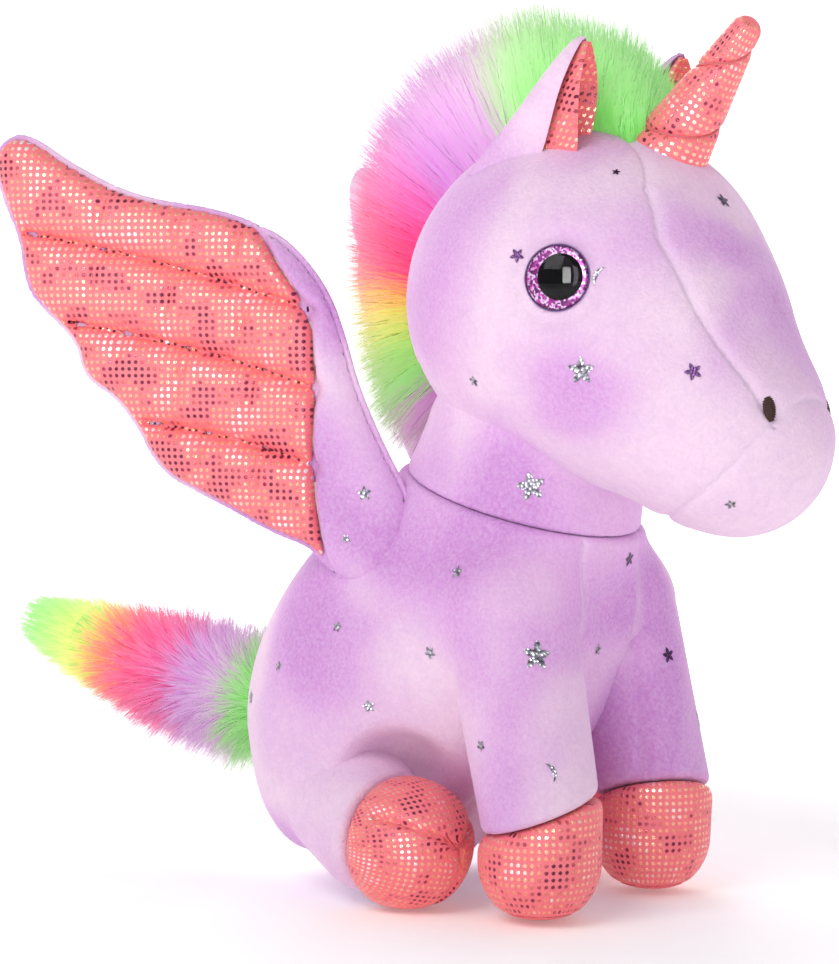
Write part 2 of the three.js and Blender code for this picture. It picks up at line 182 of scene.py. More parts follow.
def torso_field(p):
    whole = join(ellipsoid(p, RUMP), ellipsoid(p, BACK), TORSO_BLEND)
    whole = join(whole, ellipsoid(p, CHEST), TORSO_BLEND)
    neck = limb(p, NECK_FOOT, NECK_PIVOT + NECK_AXIS * NECK_SEAM, NECK_RADIUS + 1, NECK_RADIUS + 1)
    whole = join(whole, neck, 12)
    return above_ground(whole, p, 5)


def neck_field(p):
    foot = NECK_PIVOT + NECK_AXIS * (NECK_SEAM - 8)
    top = NECK_PIVOT + NECK_AXIS * 8
    column = limb(p, foot, top, NECK_RADIUS + 1, NECK_RADIUS - 3)
    seam = plane(p, NECK_PIVOT + NECK_AXIS * (NECK_SEAM + 0.6), -NECK_AXIS)
    return cut(column, seam, 2)


# ---------------------------------------------------------------- meshes from fields

BLOCK = 6  # grid cells along each side of a block


def sampled(field, low, counts, step):
    """The field on a grid, worked out only in the blocks that its surface can pass through."""
    blocks = [-(-n // BLOCK) for n in counts]
    place = np.stack(np.meshgrid(*[np.arange(n) for n in blocks], indexing="ij"), -1).reshape(-1, 3)
    middle = field(low + step * (place * BLOCK + (BLOCK - 1) / 2))
    value = np.repeat(np.repeat(np.repeat(middle.reshape(blocks), BLOCK, 0), BLOCK, 1), BLOCK, 2)
    near = place[np.abs(middle) < 1.5 * step * BLOCK]
    inner = np.stack(np.meshgrid(*[np.arange(BLOCK)] * 3, indexing="ij"), -1).reshape(-1, 3)
    cell = (near[:, None] * BLOCK + inner).reshape(-1, 3)
    value[tuple(cell.T)] = field(low + step * cell)
    return value[:counts[0], :counts[1], :counts[2]]


def surface(field, low, high, step=SKIN_STEP):
    """The field's zero surface as quads: one point in each cell it crosses, then settled onto it."""
    low = np.asarray(low, float)
    counts = [int(math.ceil((h - l) / step)) + 1 for l, h in zip(low, high)]
    value = sampled(field, low, counts, step)
    inside = value < 0
    corners = [vec(i, j, k).astype(int) for i in (0, 1) for j in (0, 1) for k in (0, 1)]
    cells = [n - 1 for n in counts]
    count = sum(
        inside[c[0]:c[0] + cells[0], c[1]:c[1] + cells[1], c[2]:c[2] + cells[2]].astype(int)
        for c in corners
    )
    crossed = (count > 0) & (count < 8)
    where = np.argwhere(crossed)
    index = np.full(cells, -1)
    index[crossed] = np.arange(len(where))
    total, hits = np.zeros((len(where), 3)), np.zeros(len(where))
    for corner in corners:
        for axis in range(3):
            if corner[axis]:
                continue
            unit = np.eye(3, dtype=int)[axis]
            a = value[tuple((where + corner).T)]
            b = value[tuple((where + corner + unit).T)]
            hit = (a < 0) != (b < 0)
            t = a[hit] / (a[hit] - b[hit])
            total[hit] += where[hit] + corner + t[:, None] * unit
            hits[hit] += 1
    points = low + step * total / hits[:, None]
    faces = []
    for axis in range(3):
        u, v = np.eye(3, dtype=int)[(axis + 1) % 3], np.eye(3, dtype=int)[(axis + 2) % 3]
        first = np.take(inside, range(counts[axis] - 1), axis)
        second = np.take(inside, range(1, counts[axis]), axis)
        edges = np.argwhere(first != second)
        room = np.ones(len(edges), bool)
        for other in ((axis + 1) % 3, (axis + 2) % 3):
            room &= (edges[:, other] > 0) & (edges[:, other] < counts[other] - 1)
        edges = edges[room]
        ring = [edges, edges - u, edges - u - v, edges - v]
        quads = np.stack([index[tuple(cell.T)] for cell in ring], 1)
        low_inside = first[tuple(edges.T)]
        faces += [quads[low_inside], quads[~low_inside][:, ::-1]]
    return settle(points, field), np.concatenate(faces)


def slope(field, points, reach=0.15):
    out = np.zeros_like(points)
    for axis in range(3):
        step = np.eye(3)[axis] * reach
        out[:, axis] = (field(points + step) - field(points - step)) / (2 * reach)
    return out


def settle(points, field, rounds=3):
    for _ in range(rounds):
        rise = slope(field, points)
        move = field(points) / np.maximum((rise * rise).sum(1), 0.05)
        points = points - rise * np.clip(move, -1, 1)[:, None]
    return points


def facing(field, points):
    rise = slope(field, points)
    return rise / np.maximum(length(rise), 1e-9)[:, None]


def compact(points, faces, *fields):
    used, faces = np.unique(faces, return_inverse=True)
    return (points[used], faces.reshape(-1, 4), *[f[used] for f in fields])


def rim_edges(faces):
    """The edges that only one face uses, as that face runs along them."""
    edges = np.concatenate([np.stack([faces[:, i], faces[:, (i + 1) % 4]], 1) for i in range(4)])
    base = int(faces.max()) + 1
    forward, back = edges[:, 0] * base + edges[:, 1], edges[:, 1] * base + edges[:, 0]
    return edges[~np.isin(forward, back)]


def shell_faces(faces, n):
    """A sheet, the same sheet turned over n points further on, and the rim between them."""
    rim = rim_edges(faces)
    edge = np.stack([rim[:, 1], rim[:, 0], rim[:, 0] + n, rim[:, 1] + n], 1)
    return np.concatenate([faces, faces[:, ::-1] + n, edge])


def thicken(points, faces, normals, thick):
    """A closed fabric shell: the skin and the same skin moved in."""
    inner = points - normals * thick
    both_ways = np.concatenate([normals, -normals])
    return np.concatenate([points, inner]), shell_faces(faces, len(points)), both_ways


def make_mesh(name, points, faces, normals=None, mirror=False):
    """A mesh object in metres. mirror makes the left-hand twin of a right-hand shape."""
    if mirror:
        points = points * vec(-1, 1, 1)
        faces = faces[:, ::-1]
        normals = None if normals is None else normals * vec(-1, 1, 1)
    mesh = bpy.data.meshes.new(name)
    mesh.from_pydata((points * MM).tolist(), [], faces.tolist())
    mesh.validate()
    mesh.shade_smooth()
    if normals is not None:
        mesh.normals_split_custom_set_from_vertices(normals.tolist())
    piece = bpy.data.objects.new(name, mesh)
    bpy.context.scene.collection.objects.link(piece)
    return piece


def add_uv(piece, coords):
    """coords is one pair of millimetres per point."""
    layer = piece.data.uv_layers.new(name="fabric")
    loops = np.zeros(len(piece.data.loops), np.int32)
    piece.data.loops.foreach_get("vertex_index", loops)
    layer.data.foreach_set("uv", coords[loops].astype(np.float32).ravel())


def add_value(piece, name, values):
    attribute = piece.data.attributes.new(name, "FLOAT", "POINT")
    attribute.data.foreach_set("value", np.asarray(values, np.float32))


def grid_faces(rows, columns, wrap=False):
    """Quads of a rows by columns net of points; wrap closes each row on itself."""
    index = np.arange(rows * columns).reshape(rows, columns)
    following = np.roll(index, -1, 1) if wrap else index[:, 1:]
    own = index if wrap else index[:, :-1]
    return np.stack([own[:-1], following[:-1], following[1:], own[1:]], -1).reshape(-1, 4)


# ---------------------------------------------------------------- materials

def rgb(code):
    """A linear colour from its usual hex name."""
    parts = [int(code[i:i + 2], 16) / 255 for i in (0, 2, 4)]
    return tuple(c / 12.92 if c <= 0.04045 else ((c + 0.055) / 1.055) ** 2.4 for c in parts) + (1,)


class Shader:
    """A small helper for building node materials."""

    def __init__(self, name):
        self.material = bpy.data.materials.new(name)
        self.material.use_nodes = True
        self.tree = self.material.node_tree
        self.surface = self.tree.nodes["Principled BSDF"]

    def node(self, kind, inputs=None, **settings):
        made = self.tree.nodes.new("ShaderNode" + kind)
        for key, value in settings.items():
            setattr(made, key, value)
        for key, value in (inputs or {}).items():
            self.put(made.inputs[key], value)
        return made

    def put(self, socket, value):
        if isinstance(value, bpy.types.NodeSocket):
            self.tree.links.new(value, socket)
        else:
            socket.default_value = value

    def set(self, **inputs):
        for key, value in inputs.items():
            self.put(self.surface.inputs[key.replace("_", " ")], value)

    def place(self, kind="Object"):
        return self.node("TexCoord").outputs[kind]

    def math(self, operation, a, b=0.0):
        return self.node("Math", {0: a, 1: b}, operation=operation).outputs[0]

    def vector(self, operation, a, *b):
        return self.node("VectorMath", dict(enumerate((a, *b))), operation=operation).outputs

    def value(self, name):
        """A value that the mesh carries at each of its points."""
        return self.node("Attribute", attribute_name=name).outputs["Fac"]

    def blend(self, share, first, second):
        """Show one surface shader over another."""
        both = self.node("MixShader", {0: share, 1: first.outputs[0], 2: second.outputs[0]})
        self.tree.links.new(both.outputs[0], self.tree.nodes["Material Output"].inputs["Surface"])

    def noise(self, vector, scale, detail=2.0, roughness=0.5, distortion=0.0):
        inputs = {"Vector": vector, "Scale": scale, "Detail": detail, "Roughness": roughness,
                  "Distortion": distortion}
        return self.node("TexNoise", inputs).outputs[0]

    def ramp(self, value, stops):
        made = self.node("ValToRGB", {"Fac": value})
        points = made.color_ramp.elements
        while len(points) < len(stops):
            points.new(0.5)
        for point, (at, colour) in zip(points, stops):
            point.position = at
            point.color = rgb(colour) if isinstance(colour, str) else (colour, colour, colour, 1)
        return made.outputs[0]

    def mix(self, share, a, b):
        made = self.node("Mix", data_type="RGBA")
        self.put(made.inputs[0], share)
        self.put(made.inputs[6], rgb(a) if isinstance(a, str) else a)
        self.put(made.inputs[7], rgb(b) if isinstance(b, str) else b)
        return made.outputs[2]

    def bump(self, height, distance, strength=1.0, under=None):
        inputs = {"Height": height, "Distance": distance, "Strength": strength}
        if under is not None:
            inputs["Normal"] = under
        return self.node("Bump", inputs).outputs[0]


def plush_material():
    """Short-pile lilac plush with soft tie-dyed clouds, and painted sheen and shade in its pile."""
    s = Shader("lilac_plush")
    at = s.place()
    clouds = s.noise(at, 17, 1.5, 0.45, 0.6)
    dye_and_painted_light = s.ramp(clouds, [(0.34, "EFCFE8"), (0.45, "E6BCE3"), (0.54, "DAA0DD"), (0.65, "CC88D2")])
    nap = s.noise(at, 950, 2, 0.6)
    strokes = s.noise(at, 160, 3, 0.6, 1.2)
    # Painted light in the pile: fine flecks lighter as painted sheen, brushed strokes darker as painted
    # shade.
    dye_and_painted_light = s.mix(s.ramp(nap, [(0.3, 0.0), (0.75, 0.28)]), dye_and_painted_light, "FBEFFB")
    dye_and_painted_light = s.mix(s.ramp(strokes, [(0.42, 0.0), (0.72, 0.16)]), dye_and_painted_light, "C79ADB")
    fine = s.bump(nap, 0.0006, 0.55)
    coarse = s.bump(strokes, 0.0010, 0.35, fine)
    dye_and_painted_light = s.mix(s.math("MULTIPLY", s.value("seam"), 0.45), dye_and_painted_light, "F3DCF2")
    s.set(Base_Color=dye_and_painted_light, Roughness=0.82, Normal=coarse, Sheen_Weight=0.55, Sheen_Roughness=0.35,
          Sheen_Tint=rgb("FFF0FF"), Specular_IOR_Level=0.2)
    return s.material


def dot_mask(s, at, pitch, radius):
    """1 on the round dots of a square grid, from coordinates in millimetres."""
    scaled = s.vector("MULTIPLY", at, (1 / pitch, 1 / pitch, 1))[0]
    cell = s.vector("FRACTION", scaled)[0]
    centred = s.vector("SUBTRACT", cell, (0.5, 0.5, 0))[0]
    span = s.vector("LENGTH", s.vector("MULTIPLY", centred, (1, 1, 0))[0])[1]
    return s.ramp(span, [(radius / pitch - 0.05, 1.0), (radius / pitch + 0.03, 0.0)])


DOT_PITCH, DOT_RADIUS = 2.1, 0.62


def foil_material():
    """Coral satin printed with foil dots, whose tint goes from dark to white in patches: painted reflection
    on peach foil.
    """
    s = Shader("coral_foil_dots")
    at = s.place("UV")
    dots = dot_mask(s, at, DOT_PITCH, DOT_RADIUS)
    whole = s.vector("SNAP", at, (DOT_PITCH, DOT_PITCH, 1))[0]
    patches = s.noise(whole, 0.09, 1.0, 0.4, 0.3)
    speck = s.node("TexWhiteNoise", {"Vector": whole}, noise_dimensions="3D").outputs[0]
    painted_reflection = s.math("ADD", patches, s.math("MULTIPLY", s.math("SUBTRACT", speck, 0.5), 0.09))
    painted_reflection = s.math("ADD", painted_reflection, s.value("glint"))
    # The dots' peach foil colour, painted darker and whiter as painted reflection.
    tint = s.ramp(painted_reflection, [
        (0.30, "6A1838"), (0.38, "9A2E4C"), (0.43, "D8686A"), (0.47, "FFA484"), (0.60, "FFBC9C"),
        (0.68, "FFE4DC"), (0.78, "FFFAF6"),
    ])
    weave = s.noise(at, 2.2, 2, 0.6)
    cloth = s.ramp(weave, [(0.3, "FA6673"), (0.7, "FF8A92")])
    colour = s.mix(dots, cloth, tint)
    shine = s.ramp(dots, [(0.0, 0.62), (1.0, 0.24)])
    relief = s.bump(weave, 0.0003, 0.4)
    s.set(Base_Color=colour, Roughness=shine, Metallic=s.math("MULTIPLY", dots, 0.4),
          Normal=s.bump(dots, 0.0002, 0.6, relief), Sheen_Weight=0.25, Sheen_Tint=rgb("FFC0C4"))
    return s.material


def fur_material(name, bands):
    """Rainbow fur, with painted light. along runs down the strip, tip up each hair, tone is a hair's own
    shade.
    """
    s = Shader(name)
    tip = s.value("tip")
    dyed = s.ramp(s.value("along"), bands)
    # Painted highlight: each hair paler towards its tip.
    lit = s.mix(s.math("MULTIPLY", s.math("POWER", tip, 2.0), 0.34), dyed, "FFF8F0")
    deep = s.mix(s.ramp(s.value("tone"), [(0.0, 0.16), (0.6, 0.0)]), lit, s.mix(0.4, dyed, "A0508C"))
    # Painted shade: each hair darker towards its root.
    deep = s.mix(s.ramp(tip, [(0.0, 0.18), (0.45, 0.0)]), deep, s.mix(0.45, dyed, "A04C90"))
    # Painted light: the fur glows a little in its own colour, though it is no lamp.
    s.set(Base_Color=deep, Roughness=0.55, Sheen_Weight=0.2, Specular_IOR_Level=0.2,
          Emission_Color=deep, Emission_Strength=0.36)
    s.blend(0.25, s.surface, s.node("BsdfTranslucent", {"Color": deep}))
    return s.material


def silver_material():
    s = Shader("silver_foil")
    at = s.place()
    crumple = s.node("TexVoronoi", {"Vector": at, "Scale": 900.0}).outputs["Distance"]
    tint = s.ramp(crumple, [(0.1, "E8E8EE"), (0.4, "A8A8B2"), (0.8, "54545E")])
    s.set(Base_Color=tint, Metallic=0.85, Roughness=0.28, Normal=s.bump(crumple, 0.0006, 0.9))
    return s.material


def plum_foil_material():
    s = Shader("plum_foil")
    crumple = s.noise(s.place(), 1500, 2)
    s.set(Base_Color=s.ramp(crumple, [(0.35, "2C1238"), (0.7, "5A2A68")]), Metallic=0.6,
          Roughness=0.3, Normal=s.bump(crumple, 0.0004, 0.6))
    return s.material


def thread_material(name, dark, light):
    s = Shader(name)
    wave = {"Vector": s.place(), "Scale": 900.0, "Distortion": 1.5}
    strand = s.node("TexWave", wave, bands_direction="Z").outputs["Fac"]
    s.set(Base_Color=s.ramp(strand, [(0.2, dark), (0.8, light)]), Roughness=0.5,
          Normal=s.bump(strand, 0.0004, 0.7))
    return s.material


def glitter_material():
    s = Shader("pink_glitter")
    flakes = s.node("TexVoronoi", {"Vector": s.place(), "Scale": 1500.0}).outputs["Color"]
    tint = s.ramp(flakes, [(0.30, "6E1068"), (0.42, "B82CA0"), (0.55, "E860CC"), (0.68, "FFE8FF")])
    s.set(Base_Color=tint, Metallic=0.25, Roughness=0.3, Normal=s.bump(flakes, 0.0008, 1.0))
    return s.material


def polished_material(name, code, roughness=0.06):
    s = Shader(name)
    haze = s.noise(s.place(), 300, 3)
    s.set(Base_Color=s.mix(s.ramp(haze, [(0.3, 0.0), (0.8, 0.004)]), code, "FFFFFF"),
          Roughness=s.ramp(haze, [(0.3, roughness), (0.8, roughness + 0.05)]), Specular_IOR_Level=0.05)
    return s.material


def clear_material():
    """Clear plastic over the iris: gloss by angle, and the rest shows what is behind."""
    s = Shader("clear_dome")
    haze = s.noise(s.place(), 200, 2)
    gloss = s.node("BsdfGlossy", {"Roughness": s.ramp(haze, [(0.3, 0.02), (0.8, 0.05)])})
    through = s.node("BsdfTransparent", {"Color": rgb("FBF4FF")})
    edge = s.math("MULTIPLY", s.node("Fresnel", {"IOR": 1.4}).outputs[0], 0.6)
    s.blend(edge, through, gloss)
    return s.material


def cloth_material(name, dark, light, scale=700):
    s = Shader(name)
    fibres = s.noise(s.place(), scale, 3, 0.7)
    s.set(Base_Color=s.ramp(fibres, [(0.3, dark), (0.7, light)]), Roughness=0.9,
          Normal=s.bump(fibres, 0.0008, 0.8))
    return s.material


MANE_BANDS = [
    (0.00, "8EEA74"), (0.20, "A2F088"), (0.29, "C4F2AE"), (0.35, "EBBEEC"), (0.50, "E69AE6"),
    (0.57, "F566C6"), (0.64, "FF2F98"), (0.72, "FF3A86"), (0.76, "FFC050"), (0.81, "ECEC60"),
    (0.87, "B4EA70"), (0.94, "A0E67C"), (1.00, "DC8CD8"),
]
TAIL_BANDS = [
    (0.00, "86E86A"), (0.12, "9CEE80"), (0.20, "E6BCEA"), (0.36, "E09AE6"), (0.44, "F64AB0"),
    (0.60, "FF2C8C"), (0.70, "FF8A50"), (0.76, "F8EE60"), (0.88, "BCF070"), (1.00, "84EC74"),
]

PLUSH = plush_material()
FOIL = foil_material()
MANE_FUR = fur_material("mane_rainbow_fur", MANE_BANDS)
TAIL_FUR = fur_material("tail_rainbow_fur", TAIL_BANDS)
SILVER = silver_material()
PLUM = plum_foil_material()
BROWN_THREAD = thread_material("brown_thread", "2A120C", "5A3026")
PINK_THREAD = thread_material("coral_thread", "E8505E", "FF9AA0")
GLITTER = glitter_material()
BLACK = polished_material("black_pupil", "020203")
EYE_PLASTIC = polished_material("eye_rim", "866AA0", 0.2)
CLEAR = clear_material()
STUFFING = cloth_material("polyester_fibre", "DAD8D2", "FFFFFF")
PLAIN_CORAL = cloth_material("coral_satin", "F0606C", "FF9298", 900)


# ---------------------------------------------------------------- head

EYE = vec(46, -97, 191.5)
EYE_FACING = vec(0.949, -0.308, 0.093)
EYE_HOLE = (3.2, 8.0, 10.4)  # how deep it is, and where its side starts and ends
SOCKET_RADIUS = 12
NOSTRIL = vec(16.5, -150.5, 154)


def head_seams(p):
    """Distance to the nearest seam of the head."""
    gusset = np.where((above_nose(p) > -3) & (muzzle_side(p) < 2), gusset_side(p), NO_SEAM)
    return nearer(gusset, muzzle_side(p))


def fold_over(p):
    """The same point on the left-hand side."""
    return np.where(p[:, :1] < 0, p * vec(-1, 1, 1), p)


def head_skin_field(p):
    left = fold_over(p)
    from_eye = length(left - EYE)
    depth, start, end = EYE_HOLE
    socket = 1.3 * np.exp(-(((from_eye - SOCKET_RADIUS) / 3) ** 2))
    pucker = 1.2 * np.exp(-(length(left - NOSTRIL) / 4) ** 2)
    recess = depth * (1 - ramp(from_eye, start, end))
    return head_field(p) + groove(head_seams(p)) + socket + pucker + recess


def in_muzzle(c):
    return muzzle_side(c) > 0


def in_gusset(c):
    return ~in_muzzle(c) & (gusset_side(c) < 0) & (above_nose(c) > 0)


def add_skins(field, low, high, panels, body, fill, seams):
    """One skin, cut into its sewn panels; panels maps a CAD node's name to the test for its faces."""
    points, faces = surface(field, low, high)
    normals = facing(field, points)
    line = np.exp(-((seams(points) / 1.5) ** 2))
    centres = points[faces].mean(1)
    for node, keep in panels.items():
        own, chosen, n, seam = compact(points, faces[keep(centres)], normals, line)
        piece = make_mesh(node + "_skin", *thicken(own, chosen, n, SKIN_THICK))
        add_value(piece, "seam", np.concatenate([seam, seam]))
        settle_piece(piece, PLUSH, node, "plush", body, fill)


def settle_piece(piece, material, node, slot, body, fill=None):
    """Dress a piece, hide the CAD node it stands for and attach it to its body. slot and fill are not used.
    """
    piece.data.materials.append(material)
    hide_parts(node)
    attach(piece, body)


def solid(field, low, high, step=SKIN_STEP):
    """A field's whole surface: its points, faces and normals."""
    points, faces = surface(field, low, high, step)
    return points, faces, facing(field, points)


def add_solid(node, suffix, form, material, slot, body, fill=None, mirror=False, uv=None):
    """A closed piece in place of one CAD node; form is what solid() gives."""
    piece = make_mesh(node + suffix, *form, mirror)
    if uv is not None:
        add_uv(piece, uv(form[0]))
    settle_piece(piece, material, node, slot, body, fill)


def add_stuffing(node, field, room, body, fill, mirror=False):
    form = solid(lambda p: field(p) + STUFFING_DEPTH, *room, STUFFING_STEP)
    add_solid(node, "_fill", form, STUFFING, "stuffing", body, fill, mirror)


HEAD_ROOM = ((-60, -168, 104), (60, -6, 246))
NECK_ROOM = ((-48, -112, 90), (48, -8, 190))


def add_head():
    add_skins(head_skin_field, *HEAD_ROOM, {
        "muzzle_panel": in_muzzle,
        "forehead_gusset": in_gusset,
        "head_panel_right": lambda c: ~in_muzzle(c) & ~in_gusset(c) & (c[:, 0] < 0),
        "head_panel_left": lambda c: ~in_muzzle(c) & ~in_gusset(c) & (c[:, 0] >= 0),
    }, "head", 0.9, head_seams)
    add_stuffing("head_stuffing", head_field, HEAD_ROOM, "head", 0.9)


def add_neck():
    add_solid("neck_collar", "_skin", solid(neck_field, *NECK_ROOM), PLUSH, "plush", "neck", 0.8)
    add_stuffing("neck_stuffing", neck_field, NECK_ROOM, "neck", 0.8)


# ---------------------------------------------------------------- body and legs

def torso_seams(p):
    front = np.where((p[:, 1] < -30) & (p[:, 2] > 20), np.abs(p[:, 0]) - CHEST_HALF, NO_SEAM)
    spine = np.where(p[:, 1] > 5, p[:, 0], NO_SEAM)
    return nearer(nearer(front, spine), p[:, 2] - SEAT_TOP)


def body_form(p):
    """The body with the roundings that its four legs come out of."""
    left = fold_over(p)
    whole = torso_field(p)
    whole = join(whole, length(left - SHOULDER) - FRONT_RADII[0] - 0.2, LEG_BLEND)
    whole = join(whole, length(left - HIP) - REAR_RADII[0] - 0.2, LEG_BLEND)
    hoof, radius = REAR_HOOF
    room = limb(left, hoof, hoof + vec(0, 4, 16), radius - 1, radius - 3)
    whole = cut(whole, -room, 6)
    return above_ground(whole, p, 4)


def body_skin_field(p):
    seam = plane(p, NECK_PIVOT + NECK_AXIS * (NECK_SEAM + 0.4), NECK_AXIS)
    return cut(body_form(p) + groove(torso_seams(p)), seam, 2.5)


def add_torso():
    room = ((-64, -94, -2), (64, 60, 162))
    in_seat = lambda c: c[:, 2] < SEAT_TOP
    in_chest = lambda c: ~in_seat(c) & (np.abs(c[:, 0]) < CHEST_HALF) & (c[:, 1] < -40) & (c[:, 2] > 26)
    add_skins(body_skin_field, *room, {
        "seat_panel": in_seat,
        "chest_panel": in_chest,
        "body_panel_right": lambda c: ~in_seat(c) & ~in_chest(c) & (c[:, 0] < 0),
        "body_panel_left": lambda c: ~in_seat(c) & ~in_chest(c) & (c[:, 0] >= 0),
    }, "torso", 0.85, torso_seams)
    add_stuffing("body_stuffing", body_skin_field, room, "torso", 0.85)


HOOF_SEAM = (vec(31, -81, 32), vec(0.22, 0.28, 1))  # the cap is higher at its front and outside
REAR_SEAM = (vec(40, -30, 21), vec(-0.18, 1, 0.06))
FRONT_HOOF = (vec(30.5, -80.5, 18), vec(31, -81, 36), 18.6, 18.8)
REAR_HOOF = (vec(40, -37.5, 20.2), 20.5)
SOLE_HEIGHT = 3.2


def front_cover_field(p):
    leg = limb(p, SHOULDER, ANKLE, *FRONT_RADII)
    inner = np.where(p[:, 1] < -66, p[:, 0] - CHEST_HALF, NO_SEAM)
    return cut(leg + groove(inner), plane(p, HOOF_SEAM[0], -HOOF_SEAM[1]) + SEAM_GAP, 3)


def front_hoof_form(p):
    at, top, foot_radius, top_radius = FRONT_HOOF
    hoof = limb(p, at, top, foot_radius, top_radius)
    hoof = cut(hoof, plane(p, HOOF_SEAM[0], HOOF_SEAM[1]) + 0.2, 5)
    return above_ground(hoof, p, 5)


def hoof_round(p):
    """Dot-cloth millimetres around and up a front hoof; the join is at its back."""
    x, y = (p - FRONT_HOOF[0])[:, :2].T
    return np.stack([np.arctan2(x, -y) * FRONT_HOOF[2], p[:, 2]], 1)


def rear_cover_field(p):
    leg = limb(p, HIP, HOCK, *REAR_RADII)
    leg = above_ground(leg, p, 4)
    return cut(leg, plane(p, REAR_SEAM[0], -REAR_SEAM[1]) + SEAM_GAP, 3)


def dart_seams(p):
    """A rear hoof's darts: one up its front from the floor, and two branching to the sides."""
    at = REAR_HOOF[0]
    x, z = p[:, 0] - at[0], p[:, 2] - at[2]
    stem = np.where(z < 0, x + 1, NO_SEAM)
    branch = np.where(z > -3, z - 0.55 * np.abs(x) - 0.5, NO_SEAM)
    return nearer(stem, branch)


def rear_hoof_field(p):
    at, radius = REAR_HOOF
    ball = length(p - at) - radius
    ball = np.where(p[:, 1] < at[1], ball + groove(dart_seams(p), 1.3, 1.2), ball)
    ball = cut(ball, plane(p, REAR_SEAM[0], REAR_SEAM[1]) + SEAM_GAP, 3)
    return above_ground(ball, p, 3)


def hoof_wedges(p):
    """Dot-cloth millimetres from the middle of a rear hoof's front, turned in each wedge."""
    at, radius = REAR_HOOF
    d = (p - at) / radius
    reach = np.arccos(np.clip(-d[:, 1], -1, 1)) * radius
    turn = np.arctan2(d[:, 2], d[:, 0])
    return np.stack([reach * np.cos(turn), reach * np.sin(turn)], 1)


def add_legs():
    front, rear = ((4, -104, -2), (54, -36, 116)), ((4, -62, -2), (66, 42, 60))
    front_cover = solid(front_cover_field, *front)
    cap = solid(lambda p: cut(front_hoof_form(p), SOLE_HEIGHT - p[:, 2], 1), *front, 0.9)
    sole = solid(lambda p: cut(front_hoof_form(p), p[:, 2] - SOLE_HEIGHT - 0.4, 1), *front, 0.9)
    rear_cover = solid(rear_cover_field, *rear)
    ball = solid(rear_hoof_field, *rear, 0.8)
    for side, sign in SIDES:
        twin, body = sign < 0, "front_leg_" + side
        add_solid(body + "_cover", "_skin", front_cover, PLUSH, "plush", body, 0.85, twin)
        add_stuffing(body + "_stuffing", front_cover_field, front, body, 0.85, twin)
        add_solid(f"front_hoof_{side}_cap", "_cloth", cap, FOIL, "foil", body, 0.9, twin, hoof_round)
        add_solid(f"front_hoof_{side}_sole", "_cloth", sole, PLAIN_CORAL, "foil", body, None, twin)
        body = "rear_leg_" + side
        add_solid(body + "_cover", "_skin", rear_cover, PLUSH, "plush", body, 0.85, twin)
        add_stuffing(body + "_stuffing", rear_cover_field, rear, body, 0.85, twin)
        add_solid(f"rear_hoof_{side}_cap", "_cloth", ball, FOIL, "foil", body, 0.9, twin, hoof_wedges)


# ---------------------------------------------------------------- outlines

def rounded(outline, rounds=2):
    """A closed outline with its corners cut and cut again."""
    points = np.array(outline, float)
    for _ in range(rounds):
        following = np.roll(points, -1, 0)
        pairs = [0.75 * points + 0.25 * following, 0.25 * points + 0.75 * following]
        points = np.stack(pairs, 1).reshape(-1, 2)
    return points


def outline_side(at, outline):
    """Signed distance to a closed flat outline, negative inside."""
    best = np.full(len(at), 1e9)
    odd = np.zeros(len(at), bool)
    for a, b in zip(outline, np.roll(outline, -1, 0)):
        edge, off = b - a, at - a
        t = np.clip(off @ edge / (edge @ edge), 0, 1)
        best = np.minimum(best, length(off - t[:, None] * edge))
        if a[1] != b[1]:
            crossing = (a[1] > at[:, 1]) != (b[1] > at[:, 1])
            odd ^= crossing & (off[:, 0] < (at[:, 1] - a[1]) / (b[1] - a[1]) * edge[0])
    return np.where(odd, -best, best)


def line_distance(at, line):
    """Distance to an open flat line."""
    best = np.full(len(at), 1e9)
    for a, b in zip(line[:-1], line[1:]):
        edge = b - a
        t = np.clip((at - a) @ edge / (edge @ edge), 0, 1)
        best = np.minimum(best, length(at - a - t[:, None] * edge))
    return best


def bowed(start, end, bow, count=9):
    """A line from start to end, sagging by bow across itself."""
    start, end = vec(*start), vec(*end)
    t = np.linspace(0, 1, count)[:, None]
    across = vec(end[1] - start[1], start[0] - end[0])
    return start + t * (end - start) + 4 * t * (1 - t) * bow * across / length(across)


# ---------------------------------------------------------------- wings

WING_ROOT = vec(39, -20, 99)
WING_OUT = vec(0.36, 0.933, 0)
WING_UP = vec(0, 0, 1)
WING_FRONT = vec(0.933, -0.36, 0)
WING_HALF = 6.2
WING_LENGTH = 120
WING_EDGE = 9
WING_STEP = 1.0
WING_THINNEST = 0.8  # half of what the stitches leave between the two faces
QUILT_VALLEYS = [(3.3, 3.6, 0.5), (1.6, 1.0, 0.3)]  # depth, width, how far in from the edge it is whole
WING_OUTLINE = vec(1.02, 1.0) * rounded([
    (0, 0), (6, 1), (12, 6), (17, 12), (29, 16), (42, 23), (54, 29), (62, 33), (68, 40), (71, 47), (79, 58),
    (89, 64), (91, 75), (101, 85), (107, 92), (109, 108), (113, 117), (117, 130), (115, 137), (108, 140),
    (93, 129), (73, 119), (47, 115), (29, 108), (20, 100), (12, 89), (7, 75), (3, 60), (-6, 40), (-14, 26),
    (-14, 12), (-8, 2),
])
ARM_SEAM = np.array([
    (10, 0), (13, 12), (15, 26), (16, 41), (15, 61), (16, 78), (20, 88), (27, 98), (33, 108), (40, 124),
], float)
QUILTING = [bowed((114, 110), (16, 84), 2), bowed((97, 81), (15, 60), 2), bowed((76, 50), (15, 36), 2)]
